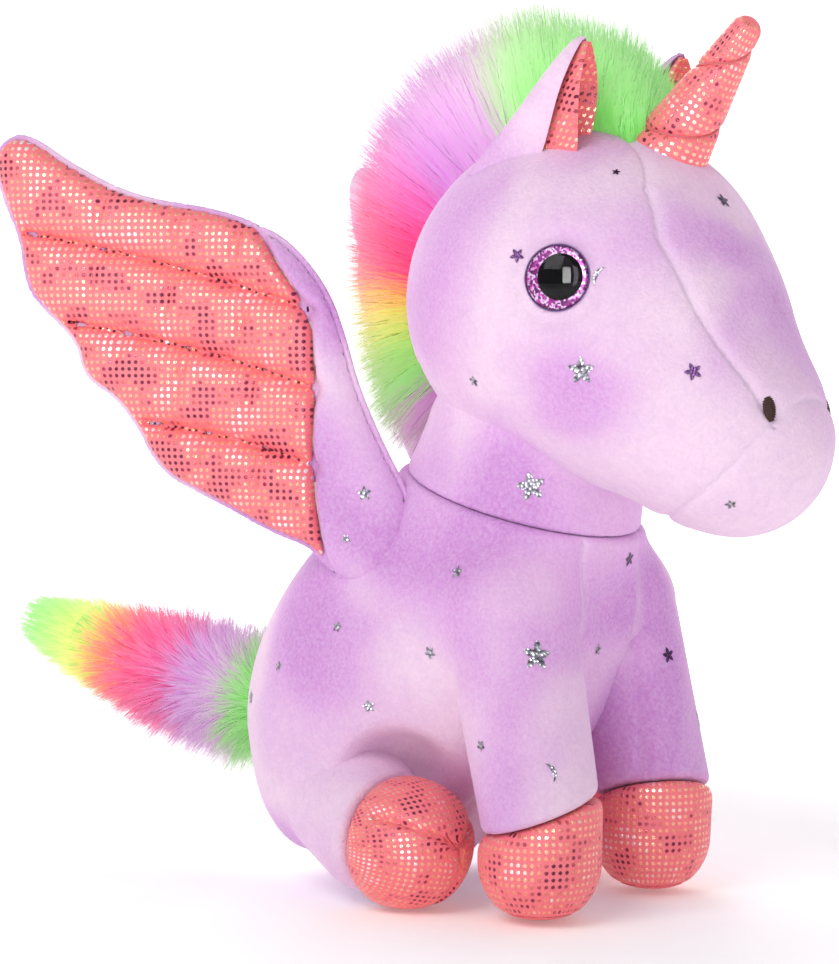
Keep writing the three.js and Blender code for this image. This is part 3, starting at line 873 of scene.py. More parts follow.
DENTS = [  # cross tucks in the feathers: how far out, how far up, how tall
    (40, 106, 9), (60, 110, 8), (84, 117, 8), (38, 82, 9), (62, 90, 8), (86, 98, 7), (36, 58, 8),
    (58, 66, 8), (78, 74, 6), (34, 34, 7), (52, 42, 7),
]


def wing_place(p):
    """Points as (out, up, towards the front of the wing)."""
    off = p - WING_ROOT
    return off @ WING_OUT, off @ WING_UP, off @ WING_FRONT


def arm_side(u, v):
    """How far outwards of the seam between arm and feathers."""
    return u - np.interp(v, ARM_SEAM[:, 1], ARM_SEAM[:, 0])


class Chart:
    """A flat function kept on a fine grid, and read between its grid points."""

    def __init__(self, function, low, high, step=0.5):
        self.low, self.step = vec(*low), step
        counts = [int((h - l) / step) + 2 for l, h in zip(low, high)]
        grid = np.stack(np.meshgrid(*[np.arange(n) for n in counts], indexing="ij"), -1)
        self.value = function(self.low + step * grid.reshape(-1, 2)).reshape(counts)

    def read(self, at):
        cell = np.clip((at - self.low) / self.step, 0, np.array(self.value.shape) - 1.001)
        i, j = cell.astype(int).T
        s, t = (cell % 1).T
        one = self.value[i, j] * (1 - t) + self.value[i, j + 1] * t
        two = self.value[i + 1, j] * (1 - t) + self.value[i + 1, j + 1] * t
        return one * (1 - s) + two * s


WING_ROOM = ((-40, -20), (140, 165))
WING_SIDE = Chart(lambda at: outline_side(at, WING_OUTLINE), *WING_ROOM)
WING_STITCH = Chart(lambda at: np.min([line_distance(at, line) for line in QUILTING], 0), *WING_ROOM)


def wing_slab(p, grow=0.0):
    """The quilted wing with both its faces."""
    u, v, n = wing_place(p)
    at = np.stack([u, v], 1)
    side = WING_SIDE.read(at) - grow
    inward = np.clip(-side / WING_EDGE, 0, 1)
    half = WING_HALF * np.sqrt(np.clip(1 - (1 - inward) ** 2, 0, 1)) + np.where(side > 0, -side, 0)
    padded = half
    stitch = WING_STITCH.read(at)
    for depth, width, fade in QUILT_VALLEYS:
        half = half - depth * np.exp(-((stitch / width) ** 2)) * ramp(inward, 0.05, fade)
    half = half - 1.8 * np.exp(-((arm_side(u, v) / 1.6) ** 2))
    for du, dv, tall in DENTS:
        lean = (u - du) + 0.25 * (v - dv)
        half = half - 1.3 * np.exp(-((lean / 1.6) ** 2) - (((v - dv) / tall) ** 2))
    half = np.maximum(half, np.minimum(padded, WING_THINNEST))
    bend = 0.0009 * np.clip(u - 20, 0, 200) ** 2
    return np.abs(n - bend) - half, u, v, n - bend


def wing_foil_field(p):
    slab, u, v, n = wing_slab(p)
    return cut(cut(slab, -(n - 0.4), 0.8), -(arm_side(u, v) - 0.3), 2)


def wing_arm_field(p):
    slab, u, v, n = wing_slab(p)
    return cut(cut(slab, -(n - 0.4), 0.8), arm_side(u, v) + 0.3, 2)


def wing_back_field(p):
    slab, u, v, n = wing_slab(p, 1.3)
    return cut(slab, n - 0.6, 1.6)


def wing_glint(p):
    """Painted reflection on the foil: lighter just under each stitched line and darker across the swell of
    the feather.
    """
    u, v, _ = wing_place(p)
    lines = [QUILTING[2], QUILTING[1], QUILTING[0]]
    heights = [np.interp(-u, -line[:, 0], line[:, 1]) for line in lines]
    below = [v * 0 + 5] + heights
    above = heights + [v * 0 + 140]
    t = np.full(len(u), 0.5)
    for low, high in zip(below, above):
        inside = (v > low) & (v <= high)
        t = np.where(inside, (high - v) / np.maximum(np.minimum(high - low, 26), 1), t)
    return 0.12 * np.exp(-((t - 0.12) / 0.1) ** 2) - 0.10 * np.exp(-((t - 0.4) / 0.16) ** 2)


def wing_flat(p):
    u, v, _ = wing_place(p)
    return np.stack([u, v], 1)


def add_wings():
    tip = WING_ROOT + WING_LENGTH * WING_OUT
    low = vec(min(WING_ROOT[0], tip[0]) - 26, WING_ROOT[1] - 24, WING_ROOT[2] - 5)
    high = vec(tip[0] + 24, tip[1] + 8, WING_ROOT[2] + 146)
    forms = [
        ("_foil_panel", solid(wing_foil_field, low, high, WING_STEP), FOIL, "foil"),
        ("_arm_panel", solid(wing_arm_field, low, high, WING_STEP), PLUSH, "plush"),
        ("_back_panel", solid(wing_back_field, low, high, WING_STEP), PLUSH, "plush"),
    ]
    pad = solid(lambda p: wing_slab(p)[0] + 3, low, high, 2.5)
    for side, sign in SIDES:
        twin, body = sign < 0, "wing_" + side
        start = sided(WING_ROOT - 14 * WING_OUT, sign)
        end = sided(WING_ROOT + 2 * WING_OUT, sign)
        for part, form, material, slot in forms:
            piece = make_mesh(body + part + "_cloth", *form, twin)
            piece.data.materials.append(material)
            add_uv(piece, wing_flat(form[0]))
            add_value(piece, "glint", wing_glint(form[0]))
            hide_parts(body + part)
            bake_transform(piece)
        add_solid(body + "_padding", "_fill", pad, STUFFING, "stuffing", body, 0.5, twin)


# ---------------------------------------------------------------- turned parts: horn and eyes

def frame_about(axis):
    """Two directions across an axis, and the axis."""
    axis = unit(axis)
    across = unit(np.cross(vec(0, 0, 1) if abs(axis[2]) < 0.9 else vec(0, 1, 0), axis))
    return across, np.cross(axis, across), axis


def turned(at, axis, profile, count=96, dent=None):
    """A lathe net: profile is (radius, height) pairs from the middle of one end to the other's."""
    across, other, along = frame_about(axis)
    angle = np.linspace(0, 2 * math.pi, count, endpoint=False)
    radius, height = np.array(profile, float).T
    radius = np.repeat(radius[:, None], count, 1)
    if dent is not None:
        radius = radius - dent(angle[None, :], height[:, None])
    ring = np.cos(angle)[:, None] * across + np.sin(angle)[:, None] * other
    points = at + radius[..., None] * ring + height[:, None, None] * along
    return points.reshape(-1, 3), grid_faces(len(profile), count, wrap=True)


def arc(radius, depth, count=14, top=0.0):
    """The profile of a shallow dome from its rim to its middle."""
    t = np.linspace(0, math.pi / 2, count)
    return [(max(radius * math.cos(a), 0.02), top + depth * math.sin(a)) for a in t]


HORN_BASE, HORN_TIP = vec(0, -103.5, 227), vec(0, -132, 264)
HORN_RADII = (13.2, 4.6)
HORN_CORE = [(0.02, -1), (9, 0), (2.5, 44), (0.02, 45)]
HORN_TURNS = 1.9
HORN_START = 0.9
HORN_GROOVE = (1.3, 1.5)  # depth, width


def horn_dent(angle, height):
    tall = length(HORN_TIP - HORN_BASE)
    turns = angle / (2 * math.pi) - HORN_TURNS * height / tall + HORN_START
    off = (turns - np.round(turns)) * tall / HORN_TURNS
    depth, width = HORN_GROOVE
    return depth * np.exp(-((off / width) ** 2)) * ramp(height, 0, 8) * (1 - ramp(height, tall - 4, tall))


def horn_profile():
    tall = length(HORN_TIP - HORN_BASE)
    t = np.linspace(0, 1, 90)
    radius = HORN_RADII[0] + (HORN_RADII[1] - HORN_RADII[0]) * t ** 0.9
    side = [(0.02, -2)] + [(r, h) for r, h in zip(radius, t * tall)]
    return side + arc(HORN_RADII[1], 4.2, 12, tall)[1:]


def add_horn():
    points, faces = turned(HORN_BASE, HORN_TIP - HORN_BASE, horn_profile(), 128, horn_dent)
    piece = make_mesh("horn_cover_cloth", points, faces)
    across, other, along = frame_about(HORN_TIP - HORN_BASE)
    off = points - HORN_BASE
    round_it = np.arctan2(off @ other, off @ across) * 9
    add_uv(piece, np.stack([round_it, off @ along], 1))
    settle_piece(piece, FOIL, "horn_cover", "foil", "head", 0.9)
    core, core_faces = turned(HORN_BASE, HORN_TIP - HORN_BASE, HORN_CORE, 24)
    fill = make_mesh("horn_stuffing_fill", core, core_faces)
    settle_piece(fill, STUFFING, "horn_stuffing", "stuffing", "head", 0.9)
    add_horn_thread(across, other, along)


def add_horn_thread(across, other, along):
    """The thread that winds round the horn at the bottom of its groove."""
    tall = length(HORN_TIP - HORN_BASE)
    height = np.linspace(6, tall - 3, 160)
    angle = 2 * math.pi * (HORN_TURNS * height / tall - HORN_START)
    taper = HORN_RADII[0] + (HORN_RADII[1] - HORN_RADII[0]) * (height / tall) ** 0.9
    ring = np.cos(angle)[:, None] * across + np.sin(angle)[:, None] * other
    line = HORN_BASE + (taper - 1.0)[:, None] * ring + height[:, None] * along
    piece = tube("horn_thread", line, 0.42)
    piece.data.materials.append(PINK_THREAD)
    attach(piece, "head")


def tube(name, line, radius, sides=8):
    """A closed round strand along a line."""
    along = unit(np.gradient(line, axis=0))
    across = unit(np.cross(along, vec(0.31, 0.2, 0.93)))  # any direction that no strand runs in
    other = np.cross(along, across)
    angle = np.linspace(0, 2 * math.pi, sides, endpoint=False)
    thick = np.full(len(line), radius)
    thick[[0, -1]] = 0.02
    ring = np.cos(angle)[None, :, None] * across[:, None] + np.sin(angle)[None, :, None] * other[:, None]
    points = line[:, None] + thick[:, None, None] * ring
    return make_mesh(name, points.reshape(-1, 3), grid_faces(len(line), sides, wrap=True)[:, ::-1])


EYE_RISE = -1.2  # of its plastic, from the skin around it
PUPIL_SHIFT = vec(-0.25, -0.9, 0.1) * 1.3


def add_eyes():
    rise = EYE_RISE
    rim = [(0.02, rise - 3), (9.3, rise - 3), (9.8, rise - 1), (9.9, rise + 0.3), (9.7, rise + 0.7),
           (9.5, rise + 0.4), (9.3, rise - 1), (0.02, rise - 1)]
    ring = [(0.02, rise - 0.9)] + [(9.1, rise - 0.6), (9.3, rise + 0.3)] + arc(9.2, 1.0, 10, rise + 0.5)
    pupil = [(0.02, rise), (6.6, rise + 0.4), (6.8, rise + 1.6)] + arc(6.6, 1.0, 8, rise + 1.9)
    dome = [(0.02, rise - 0.3), (9.4, rise - 0.2), (9.8, rise + 0.3)] + arc(9.7, 4.4, 20, rise + 0.8)
    for side, sign in SIDES:
        shapes = [("back", rim, EYE_PLASTIC, "plastic", 0), ("glitter_ring", ring, GLITTER, "glitter", 0),
                  ("pupil", pupil, BLACK, "black", 1), ("dome", dome, CLEAR, "clear", 0)]
        for part, profile, material, slot, moved in shapes:
            points, faces = turned(EYE + moved * PUPIL_SHIFT, EYE_FACING, profile)
            node = f"eye_{side}_{part}"
            piece = make_mesh(node + "_turned", points, faces, None, sign < 0)
            settle_piece(piece, material, node, slot, "head")


# ---------------------------------------------------------------- nostrils and ears

def add_nostrils():
    out = facing(head_field, NOSTRIL[None])[0]
    across, up, _ = frame_about(out)
    settled = settle(NOSTRIL[None], head_skin_field)[0]

    def field(p):
        off = p - settled
        x, z, n = off @ across, off @ up, off @ out
        stitches = 0.12 * np.cos(z * 2 * math.pi / 0.7 + 2.5 * x)
        q = np.stack([x / 1.9, z / 4.1, n / 1.25], 1)
        return (length(q) - 1) * 1.3 + stitches
    form = solid(field, settled - 5.5, settled + 5.5, 0.25)
    for side, sign in SIDES:
        add_solid("nostril_" + side, "_stitched", form, BROWN_THREAD, "thread", "head", None, sign < 0)


EAR_BASE, EAR_TIP = vec(23, -89, 228), vec(26, -96, 262)
EAR_OPENS = vec(-0.2, -0.98, 0)
EAR_HALF, EAR_DEPTH = 8.5, (3, 24)  # how deep it is at its tip, and the more at its base
EAR_CURL = math.radians(78)
EAR_PINCH = 0.5  # how much of its width is left at its base
EAR_LEAN = 3.0
EAR_CREASE = 0.85


def ear_sheet(shift, span, low, high, creased=False, rows=40, columns=45):
    """A net over the ear's curled leaf, moved towards its opening by shift."""
    up = EAR_TIP - EAR_BASE
    tall = length(up)
    up = up / tall
    side = unit(np.cross(up, EAR_OPENS))
    opens = np.cross(side, up)
    s, a = np.meshgrid(np.linspace(low, high, rows), np.linspace(-span, span, columns), indexing="ij")
    half = EAR_HALF * np.clip(1 - np.abs(s) ** 2.4, 0, 1) ** 0.62 * (0.82 + 0.18 * s) + 0.6
    half = half - 0.75 * abs(shift) * ramp(s, 0.6, 1)
    half = half * (EAR_PINCH + (1 - EAR_PINCH) * ramp(s, -0.1, 0.6))
    curl = EAR_CURL * a
    across = half * np.sin(curl) / math.sin(EAR_CURL)
    deep = (EAR_DEPTH[0] + EAR_DEPTH[1] * (1 - s)) * np.sqrt(np.clip(1 - np.abs(s) ** 8, 0, 1))
    hollow = -deep * ((1 - np.abs(a) ** 1.1) * EAR_CREASE if creased else np.cos(curl) ** 0.6)
    lean = -EAR_LEAN * s ** 2
    points = (EAR_BASE + (s * tall)[..., None] * up + across[..., None] * side
              + (hollow + shift + lean)[..., None] * opens)
    round_it = np.sign(a) * np.hypot(across, hollow + deep * (EAR_CREASE if creased else 1))
    return points.reshape(-1, 3), np.stack([round_it, s * tall], -1).reshape(-1, 2), (rows, columns)


def leaf(name, outer_shift, inner_shift, span, low, high, twin, creased=False):
    """A closed leaf between two nets of the ear."""
    outer, flat, (rows, columns) = ear_sheet(outer_shift, span, low, high, creased)
    inner, _, _ = ear_sheet(inner_shift, span * 0.985, low, high, creased)
    faces = shell_faces(grid_faces(rows, columns), rows * columns)
    piece = make_mesh(name, np.concatenate([outer, inner]), faces[:, ::-1], None, twin)
    add_uv(piece, np.concatenate([flat, flat]))
    soften = piece.modifiers.new("soft edge", "BEVEL")
    soften.width, soften.segments, soften.limit_method = 0.0005, 2, "ANGLE"
    return piece


def add_ears():
    for side, sign in SIDES:
        body = "ear_" + side
        outer = leaf(body + "_outer_leaf", -1.4, 0.8, 1.0, -0.30, 1.0, sign < 0)
        settle_piece(outer, PLUSH, body + "_outer", "plush", body)
        lining = leaf(body + "_lining_leaf", 1.1, 2.0, 0.97, -0.28, 0.965, sign < 0, True)
        settle_piece(lining, FOIL, body + "_lining", "foil", body)


# ---------------------------------------------------------------- fur

RANDOM = np.random.default_rng(11)
HAIR_POINTS = 5


def hair(name, roots, tips, outward, sag, along, width):
    """Tapered flat hairs from roots to tips, bowed by sag, as one mesh with its colouring values."""
    count = len(roots)
    t = np.linspace(0, 1, HAIR_POINTS)
    middle = (roots + tips) / 2 + sag
    bow = [((1 - t) ** 2, roots), (2 * t * (1 - t), middle), (t ** 2, tips)]
    line = sum(share[None, :, None] * end[:, None] for share, end in bow)
    facing_out = outward + RANDOM.normal(0, 0.45, (count, 3))
    across = np.cross(facing_out, tips - roots)
    across = across / np.maximum(length(across), 1e-6)[:, None]
    half = (width[:, None] * np.clip((1 - t) ** 0.8, 0.05, 1)[None]) / 2
    aside = half[..., None] * across[:, None]
    points = np.stack([line - aside, line + aside], 2)
    index = np.arange(count * HAIR_POINTS * 2).reshape(count, HAIR_POINTS, 2)
    low, high = index[:, :-1], index[:, 1:]
    faces = np.stack([low[..., 0], high[..., 0], high[..., 1], low[..., 1]], -1).reshape(-1, 4)
    every = HAIR_POINTS * 2
    soft = outward + 0.35 * (tips - roots) / np.maximum(length(tips - roots), 1)[:, None]
    soft = np.repeat(unit(soft), every, 0)
    piece = make_mesh(name, points.reshape(-1, 3), faces, soft)
    add_value(piece, "along", np.repeat(along, every))
    add_value(piece, "tip", np.tile(np.repeat(t, 2), count))
    add_value(piece, "tone", np.repeat(RANDOM.random(count), every))
    piece.visible_shadow = False  # light passes through pile this fine
    return piece


def clumped(tips, roots, clump, pull):
    """Hairs' tips drawn towards the middle of their clump."""
    _, group = np.unique(clump, axis=0, return_inverse=True)
    group = group.ravel()
    size = np.bincount(group)
    middle = np.stack([np.bincount(group, tips[:, i]) / size for i in range(3)], 1)
    return tips + (middle[group] - tips) * pull


MANE_ARC = (-26, 124)  # degrees around the skull, from the horn to the nape
MANE_EDGE = np.array([  # the pile's outer edge, as pairs of back and up
    (-104, 244), (-102, 258), (-92, 269), (-74, 275), (-56, 280), (-36, 276), (-12, 266),
    (7, 249), (15, 225), (16, 198), (12, 168), (5, 147), (-8, 134),
], float)
MANE_HALF = 13
MANE_HAIRS = 24000
MANE_LENGTHS, MANE_WIDTHS = (0.66, 1.12), (0.4, 0.75)


def on_path(path, share):
    """Points at shares of a path's length."""
    steps = np.concatenate([[0], np.cumsum(length(np.diff(path, axis=0)))])
    return np.stack([np.interp(share * steps[-1], steps, path[:, i]) for i in range(path.shape[1])], -1)


def mane_root(share, x):
    """A point on the skull, by its share of the way along the strip and its place across it."""
    angle = np.radians(MANE_ARC[0] + (MANE_ARC[1] - MANE_ARC[0]) * share)
    at, radii = SKULL
    flat = np.sqrt(np.clip(1 - (x / radii[0]) ** 2, 0, 1)) - 0.02
    y = at[1] + radii[1] * flat * np.sin(angle)
    z = at[2] + radii[2] * flat * np.cos(angle)
    return np.stack([x, y, z], -1)


def add_mane():
    share = RANDOM.random(MANE_HAIRS)
    x = RANDOM.uniform(-MANE_HALF, MANE_HALF, MANE_HAIRS)
    roots = mane_root(share, x)
    swayed = np.clip(share + RANDOM.normal(0, 0.02, MANE_HAIRS), 0, 1)
    edge = on_path(MANE_EDGE, swayed)
    tips = np.stack([x * 1.55 + RANDOM.normal(0, 2.5, MANE_HAIRS), edge[:, 0], edge[:, 1]], 1)
    rounding = 1 - 0.42 * (np.abs(x) / MANE_HALF) ** 2
    tips = roots + (tips - roots) * (rounding * RANDOM.uniform(*MANE_LENGTHS, MANE_HAIRS))[:, None]
    clump = np.stack([np.floor(share * 34 + 0.5 * np.floor(x / 4.5)), np.floor(x / 4.5)], 1)
    tips = clumped(tips, roots, clump, 0.25)
    sag = RANDOM.normal(0, 1.6, (MANE_HAIRS, 3)) + np.stack([np.sign(x) * 2.0, 0 * x, 1.5 + 0 * x], 1)
    width = RANDOM.uniform(*MANE_WIDTHS, MANE_HAIRS)
    colour = np.clip(share + RANDOM.normal(0, 0.012, MANE_HAIRS), 0, 1)
    at = SKULL[0] + vec(0, 4, -10)
    outward = unit((roots + tips) / 2 - at) + np.stack([x / MANE_HALF, 0 * x, 0 * x], 1) * 1.1
    outward = unit(outward)
    piece = hair("mane_fur_hairs", roots, tips, outward, sag, colour, width)
    settle_piece(piece, MANE_FUR, "mane_fur", "fur", "head")
    add_mane_bed()


def add_mane_bed():
    """The knitted strip that the mane's fur stands on, thick with the roots of the pile."""
    rows, columns = 110, 25
    shares, places = np.linspace(0, 1, rows), np.linspace(-MANE_HALF, MANE_HALF, columns)
    share, x = np.meshgrid(shares, places, indexing="ij")
    root = mane_root(share.ravel(), x.ravel())
    edge = on_path(MANE_EDGE, share.ravel())
    target = np.stack([x.ravel() * 1.2, edge[:, 0], edge[:, 1]], 1)
    top = root + (target - root) * (0.38 * (1 - (x.ravel() / (MANE_HALF + 3)) ** 2))[:, None]
    bottom = root + (root - target) * 0.05
    faces = shell_faces(grid_faces(rows, columns), rows * columns)
    piece = make_mesh("mane_backing_bed", np.concatenate([top, bottom]), faces)
    add_value(piece, "along", np.tile(share.ravel(), 2))
    # With no tip value it takes the fur's painted shade of the roots, and its glow.
    settle_piece(piece, MANE_FUR, "mane_backing", "backing", "head")


TAIL_SPINE = np.array([(0, 43, 51), (-2, 72, 56), (-4, 92, 60), (-7, 116, 66), (-9, 132, 71)], float)
TAIL_REACH = [(0.0, 21), (0.12, 27), (0.5, 24), (0.85, 15), (1.0, 8)]
TAIL_HAIRS = 22000
TAIL_LENGTHS, TAIL_WIDTHS = (0.70, 1.12), (0.4, 0.8)
TAIL_CORE, STUB_RADIUS = 12.0, 8.0


def add_tail():
    share = RANDOM.random(TAIL_HAIRS) ** 0.9
    angle = RANDOM.uniform(0, 2 * math.pi, TAIL_HAIRS)
    spine = on_path(TAIL_SPINE, share)
    along = TAIL_SPINE[-1] - TAIL_SPINE[0]
    across, other, along = frame_about(along)
    out = np.cos(angle)[:, None] * across + np.sin(angle)[:, None] * other
    reach = np.interp(share, *zip(*TAIL_REACH)) * RANDOM.uniform(*TAIL_LENGTHS, TAIL_HAIRS)
    swept = 3 + 24 * share ** 2
    roots = spine + 3 * out
    tips = spine + reach[:, None] * out + swept[:, None] * along
    clump = np.stack([np.floor(share * 24), np.floor(angle / 0.42 + 0.5 * np.floor(share * 24))], 1)
    tips = clumped(tips, roots, clump, 0.3)
    sag = RANDOM.normal(0, 1.4, (TAIL_HAIRS, 3)) + 1.5 * out
    colour = np.clip(share + RANDOM.normal(0, 0.012, TAIL_HAIRS), 0, 1)
    width = RANDOM.uniform(*TAIL_WIDTHS, TAIL_HAIRS)
    piece = hair("tail_fur_hairs", roots, tips, out, sag, colour, width)
    settle_piece(piece, TAIL_FUR, "tail_fur", "fur", "tail")
    steps = np.linspace(0, 1, 40)
    bed = tube("tail_backing_core", on_path(TAIL_SPINE, steps), TAIL_CORE, 24)
    add_value(bed, "along", np.repeat(steps, 24))
    # With no tip value it takes the fur's painted shade of the roots, and its glow.
    settle_piece(bed, TAIL_FUR, "tail_backing", "backing", "tail")
    stub = tube("tail_stub_cover", on_path(TAIL_SPINE, np.linspace(0, 0.08, 6)), STUB_RADIUS, 24)
    settle_piece(stub, PLUSH, "tail_stub", "plush", "tail_root")


# ---------------------------------------------------------------- foil stars

def star_net(size, turn, points=5, depth=0.40):
    """A star with rounded-off centre, as flat rings of points from its middle to its outline."""
    corners = points * 2
    angle = turn + np.arange(corners * 3) * 2 * math.pi / (corners * 3)
    share = (np.arange(corners * 3) / 3) % 2
    radius = np.where(share <= 1, 1 - (1 - depth) * share, depth + (1 - depth) * (share - 1))
    rings = [0.01, 0.35, 0.7, 1.0]
    outline = np.stack([size * radius * np.cos(angle), size * radius * np.sin(angle)], 1)
    flat = [r * outline for r in rings]
    return np.concatenate(flat), grid_faces(len(rings), corners * 3, wrap=True)


def crescent_net(size, turn):
    """A comma of foil."""
    t = np.linspace(-1.25, 1.25, 13)
    outer = np.stack([np.cos(t), np.sin(t)], 1)
    inner = np.stack([0.40 * np.cos(t) + 0.19, 0.95 * np.sin(t)], 1)
    flat = np.concatenate([inner, outer]) * size - vec(0.75 * size, 0)
    c, s = math.cos(turn), math.sin(turn)
    return flat @ np.array([(c, s), (-s, c)]), grid_faces(2, 13)


def foil_shape(field, at, net):
    """A flat net laid on a skin near a point, and a little above it."""
    flat, faces = net
    at = settle(np.array([at], float), field, 12)
    out = facing(field, at)[0]
    across, up, _ = frame_about(out)
    laid = at[0] + flat[:, :1] * across + flat[:, 1:] * up
    lifted = lambda p: field(p) - 0.18
    return settle(laid, lifted, 6), faces


def foil_piece(name, field, marks, body):
    """All the foil marks of one body. Each mark is its place, its size, its turn and its kind."""
    points, faces, kinds = [], [], []
    count = 0
    for at, size, turn, kind in marks:
        net = crescent_net(size, turn) if kind == "crescent" else star_net(size, turn)
        own, own_faces = foil_shape(field, at, net)
        n = facing(field, own)
        corner, second, third = (own[own_faces[:, i]] for i in range(3))
        faces_up = np.cross(second - corner, third - corner)
        flip = (faces_up * n[own_faces[:, 0]]).sum() < 0
        own_faces = own_faces[:, ::-1] if flip else own_faces
        points.append(own)
        faces.append(own_faces + count)
        kinds += [1 if kind == "plum" else 0] * len(own_faces)
        count += len(own)
    piece = make_mesh(name, np.concatenate(points), np.concatenate(faces))
    piece.data.materials.append(SILVER)
    piece.data.materials.append(PLUM)
    piece.data.polygons.foreach_set("material_index", np.array(kinds, np.int32))
    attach(piece, body)
    return piece


def scattered(field, low, high, count, away, spacing=17):
    """Seeded places on a skin, apart from each other and from the places in away."""
    places = [np.array(a, float) for a in away]
    found = []
    while len(found) < count:
        at = settle(RANDOM.uniform(low, high, (1, 3)), field, 25)
        if abs(field(at)[0]) > 0.3:
            continue
        at = at[0]
        if all(length(at - other) > spacing for other in places):
            places.append(at)
            kind = "plum" if RANDOM.random() < 0.3 else "silver"
            found.append((at, RANDOM.uniform(1.8, 3.4), RANDOM.uniform(0, 6), kind))
    return found


HEAD_MARKS = [
    ((-42, -104, 165), 4.3, 0.3, "silver"), ((-47, -84, 198), 2.3, 0.9, "plum"),
    ((-40, -107, 192), 3.2, 2.6, "crescent"), ((-2, -121, 211), 2.6, 0.2, "plum"),
    ((-28, -132, 164), 2.7, 0.7, "plum"), ((-25, -103, 219), 1.3, 0.1, "plum"),
    ((-44, -65, 161), 1.8, 0.1, "silver"), ((-20, -140, 127), 1.8, 0.6, "silver"),
]
TORSO_MARKS = [
    ((-41, -60, 103), 2.2, 0.4, "silver"), ((-3, -80, 80), 1.9, 0.2, "silver"),
    ((-44, -50, 80), 2.1, 0.9, "silver"), ((-47, -28, 62), 2.2, 0.5, "silver"),
    ((-44, -16, 85), 1.8, 0.1, "silver"), ((6, -82, 108), 2.5, 0.6, "plum"),
    ((-47, 8, 72), 1.7, 0.3, "silver"),
]
LEG_MARKS = {
    "right": [
        ((-37, -82, 80), 4.6, 0.2, "silver"), ((-39, -90, 47), 3.2, 0.4, "crescent"),
        ((-47, -72, 54), 1.8, 1, "silver"),
    ],
    "left": [
        ((24, -96, 77), 2.6, 0.5, "plum"), ((40, -92, 55), 3.8, 0.2, "silver"),
        ((46, -74, 70), 2.0, 1, "silver"),
    ],
}
NECK_MARKS = [((-29, -76, 130), 4.6, 0.5, "silver"), ((30, -70, 128), 2.4, 0.9, "silver")]
WING_MARKS = [((-2, 28), 2.4, 0.4, "silver"), ((4, 14), 1.5, 0.8, "silver"), ((17, 66), 1.6, 0.2, "silver")]


def add_foil():
    eyes = [(46, -97, 190), (30, -90, 235)]
    head = HEAD_MARKS + scattered(head_field, (14, -140, 125), (50, -20, 222), 9, eyes)
    foil_piece("foil_marks_head", head_skin_field, head, "head")
    torso = TORSO_MARKS + scattered(body_form, (8, -50, 20), (55, 50, 120), 9, [])
    torso += scattered(body_form, (-40, 20, 20), (8, 50, 120), 4, [])
    foil_piece("foil_marks_body", body_skin_field, torso, "torso")
    foil_piece("foil_marks_collar", neck_field, NECK_MARKS, "neck")
    for side, sign in SIDES:
        field = lambda p, s=sign: front_cover_field(p * vec(s, 1, 1))
        foil_piece(f"foil_marks_front_leg_{side}", field, LEG_MARKS[side], "front_leg_" + side)
        field = lambda p, s=sign: wing_arm_field(p * vec(s, 1, 1))
        marks = [(sided(WING_ROOT + u * WING_OUT + v * WING_UP + 6 * WING_FRONT, sign), *rest)
                 for (u, v), *rest in WING_MARKS]
        foil_piece(f"foil_marks_wing_{side}", field, marks, "wing_" + side)


# ---------------------------------------------------------------- the picture

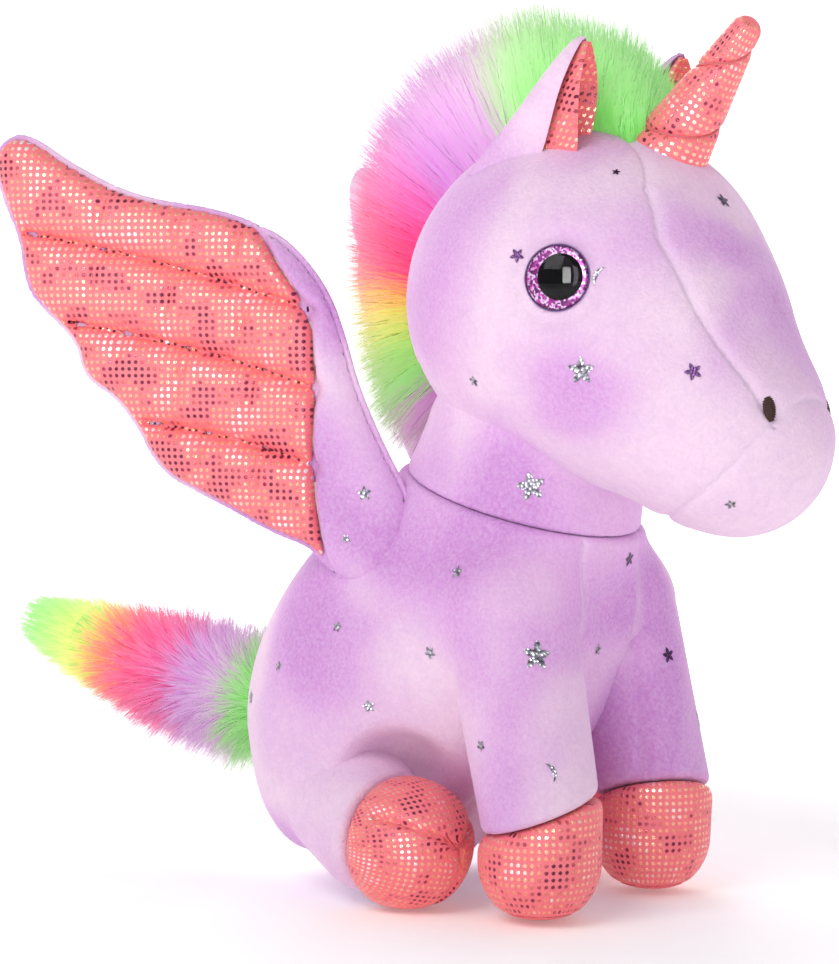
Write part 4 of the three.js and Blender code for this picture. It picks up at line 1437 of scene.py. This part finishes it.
def add_stage():
    """A white floor that curves up into a white wall behind the toy; it glows to stay white, less near the
    toy, which paints shade round the toy.
    """
    away = Vector((-CAMERA_AT.x, -CAMERA_AT.y, 0)).normalized()
    across = Vector((away.y, -away.x, 0))
    profile = [(-14, 0), (2, 0), (2.6, 0.08), (3.0, 0.4), (3.2, 1.0), (3.2, 4)]
    points = [vec(*(away * reach + across * side + Vector((0, 0, rise)))) / MM
              for reach, rise in profile for side in (-14, 14)]
    floor = make_mesh("floor", np.array(points), grid_faces(len(profile), 2))
    s = Shader("white_stage")
    grain = s.noise(s.place(), 30, 2)
    away_from_toy = s.vector("LENGTH", s.place())[1]
    # Glow weaker near the toy: painted shade round it.
    s.set(Base_Color=s.ramp(grain, [(0.3, "FAFAFA"), (0.7, "FFFFFF")]), Roughness=0.8,
          Emission_Color=rgb("FFFFFF"), Emission_Strength=s.ramp(away_from_toy, [(0.18, 0.16), (0.55, 0.7)]))
    floor.data.materials.append(s.material)


def add_light(name, at, target, size, height, power, only_shine=False):
    lamp = bpy.data.lights.new(name, "AREA")
    lamp.shape, lamp.size, lamp.size_y, lamp.energy = "RECTANGLE", size, height, power
    holder = bpy.data.objects.new(name, lamp)
    holder.location = at
    holder.rotation_euler = (Vector(target) - Vector(at)).to_track_quat("-Z", "Y").to_euler()
    holder.visible_diffuse = not only_shine
    bpy.context.scene.collection.objects.link(holder)


CAMERA_AT = Vector((-0.679, -0.542, 0.165))
CAMERA_TARGET = Vector((-0.014, -0.022, 0.1295))
CAMERA_LENS = 100


def add_camera():
    data = bpy.data.cameras.new("camera")
    data.lens, data.sensor_width = CAMERA_LENS, 36
    camera = bpy.data.objects.new("camera", data)
    camera.location = CAMERA_AT
    camera.rotation_euler = (CAMERA_TARGET - CAMERA_AT).to_track_quat("-Z", "Y").to_euler()
    bpy.context.scene.collection.objects.link(camera)
    bpy.context.scene.camera = camera
    bpy.context.scene.view_settings.view_transform = "Standard"


def add_world():
    world = bpy.data.worlds.new("studio")
    world.use_nodes = True
    world.node_tree.nodes["Background"].inputs["Color"].default_value = (1, 1, 1, 1)
    world.node_tree.nodes["Background"].inputs["Strength"].default_value = 0.40
    bpy.context.scene.world = world


def add_lights():
    middle = (0, -0.02, 0.14)
    add_light("key", (-1.0, -0.05, 0.95), middle, 0.7, 0.7, 6.0)
    add_light("front", (-0.5, -1.2, 0.6), middle, 0.5, 0.7, 0.5)
    add_light("back", (0.7, 0.8, 0.9), middle, 0.8, 0.8, 4.5)
    add_light("softbox", (-0.93, -0.55, 0.42), middle, 0.30, 0.5, 13, only_shine=True)


add_head()
add_neck()
add_torso()
add_legs()
add_wings()
add_horn()
add_eyes()
add_nostrils()
add_ears()
add_mane()
add_tail()
add_foil()
add_stage()
add_camera()
add_world()
add_lights()
for side, _ in SIDES:
    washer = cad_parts[f"eye_{side}_washer"]
    washer.data.materials.clear()
    washer.data.materials.append(EYE_PLASTIC)
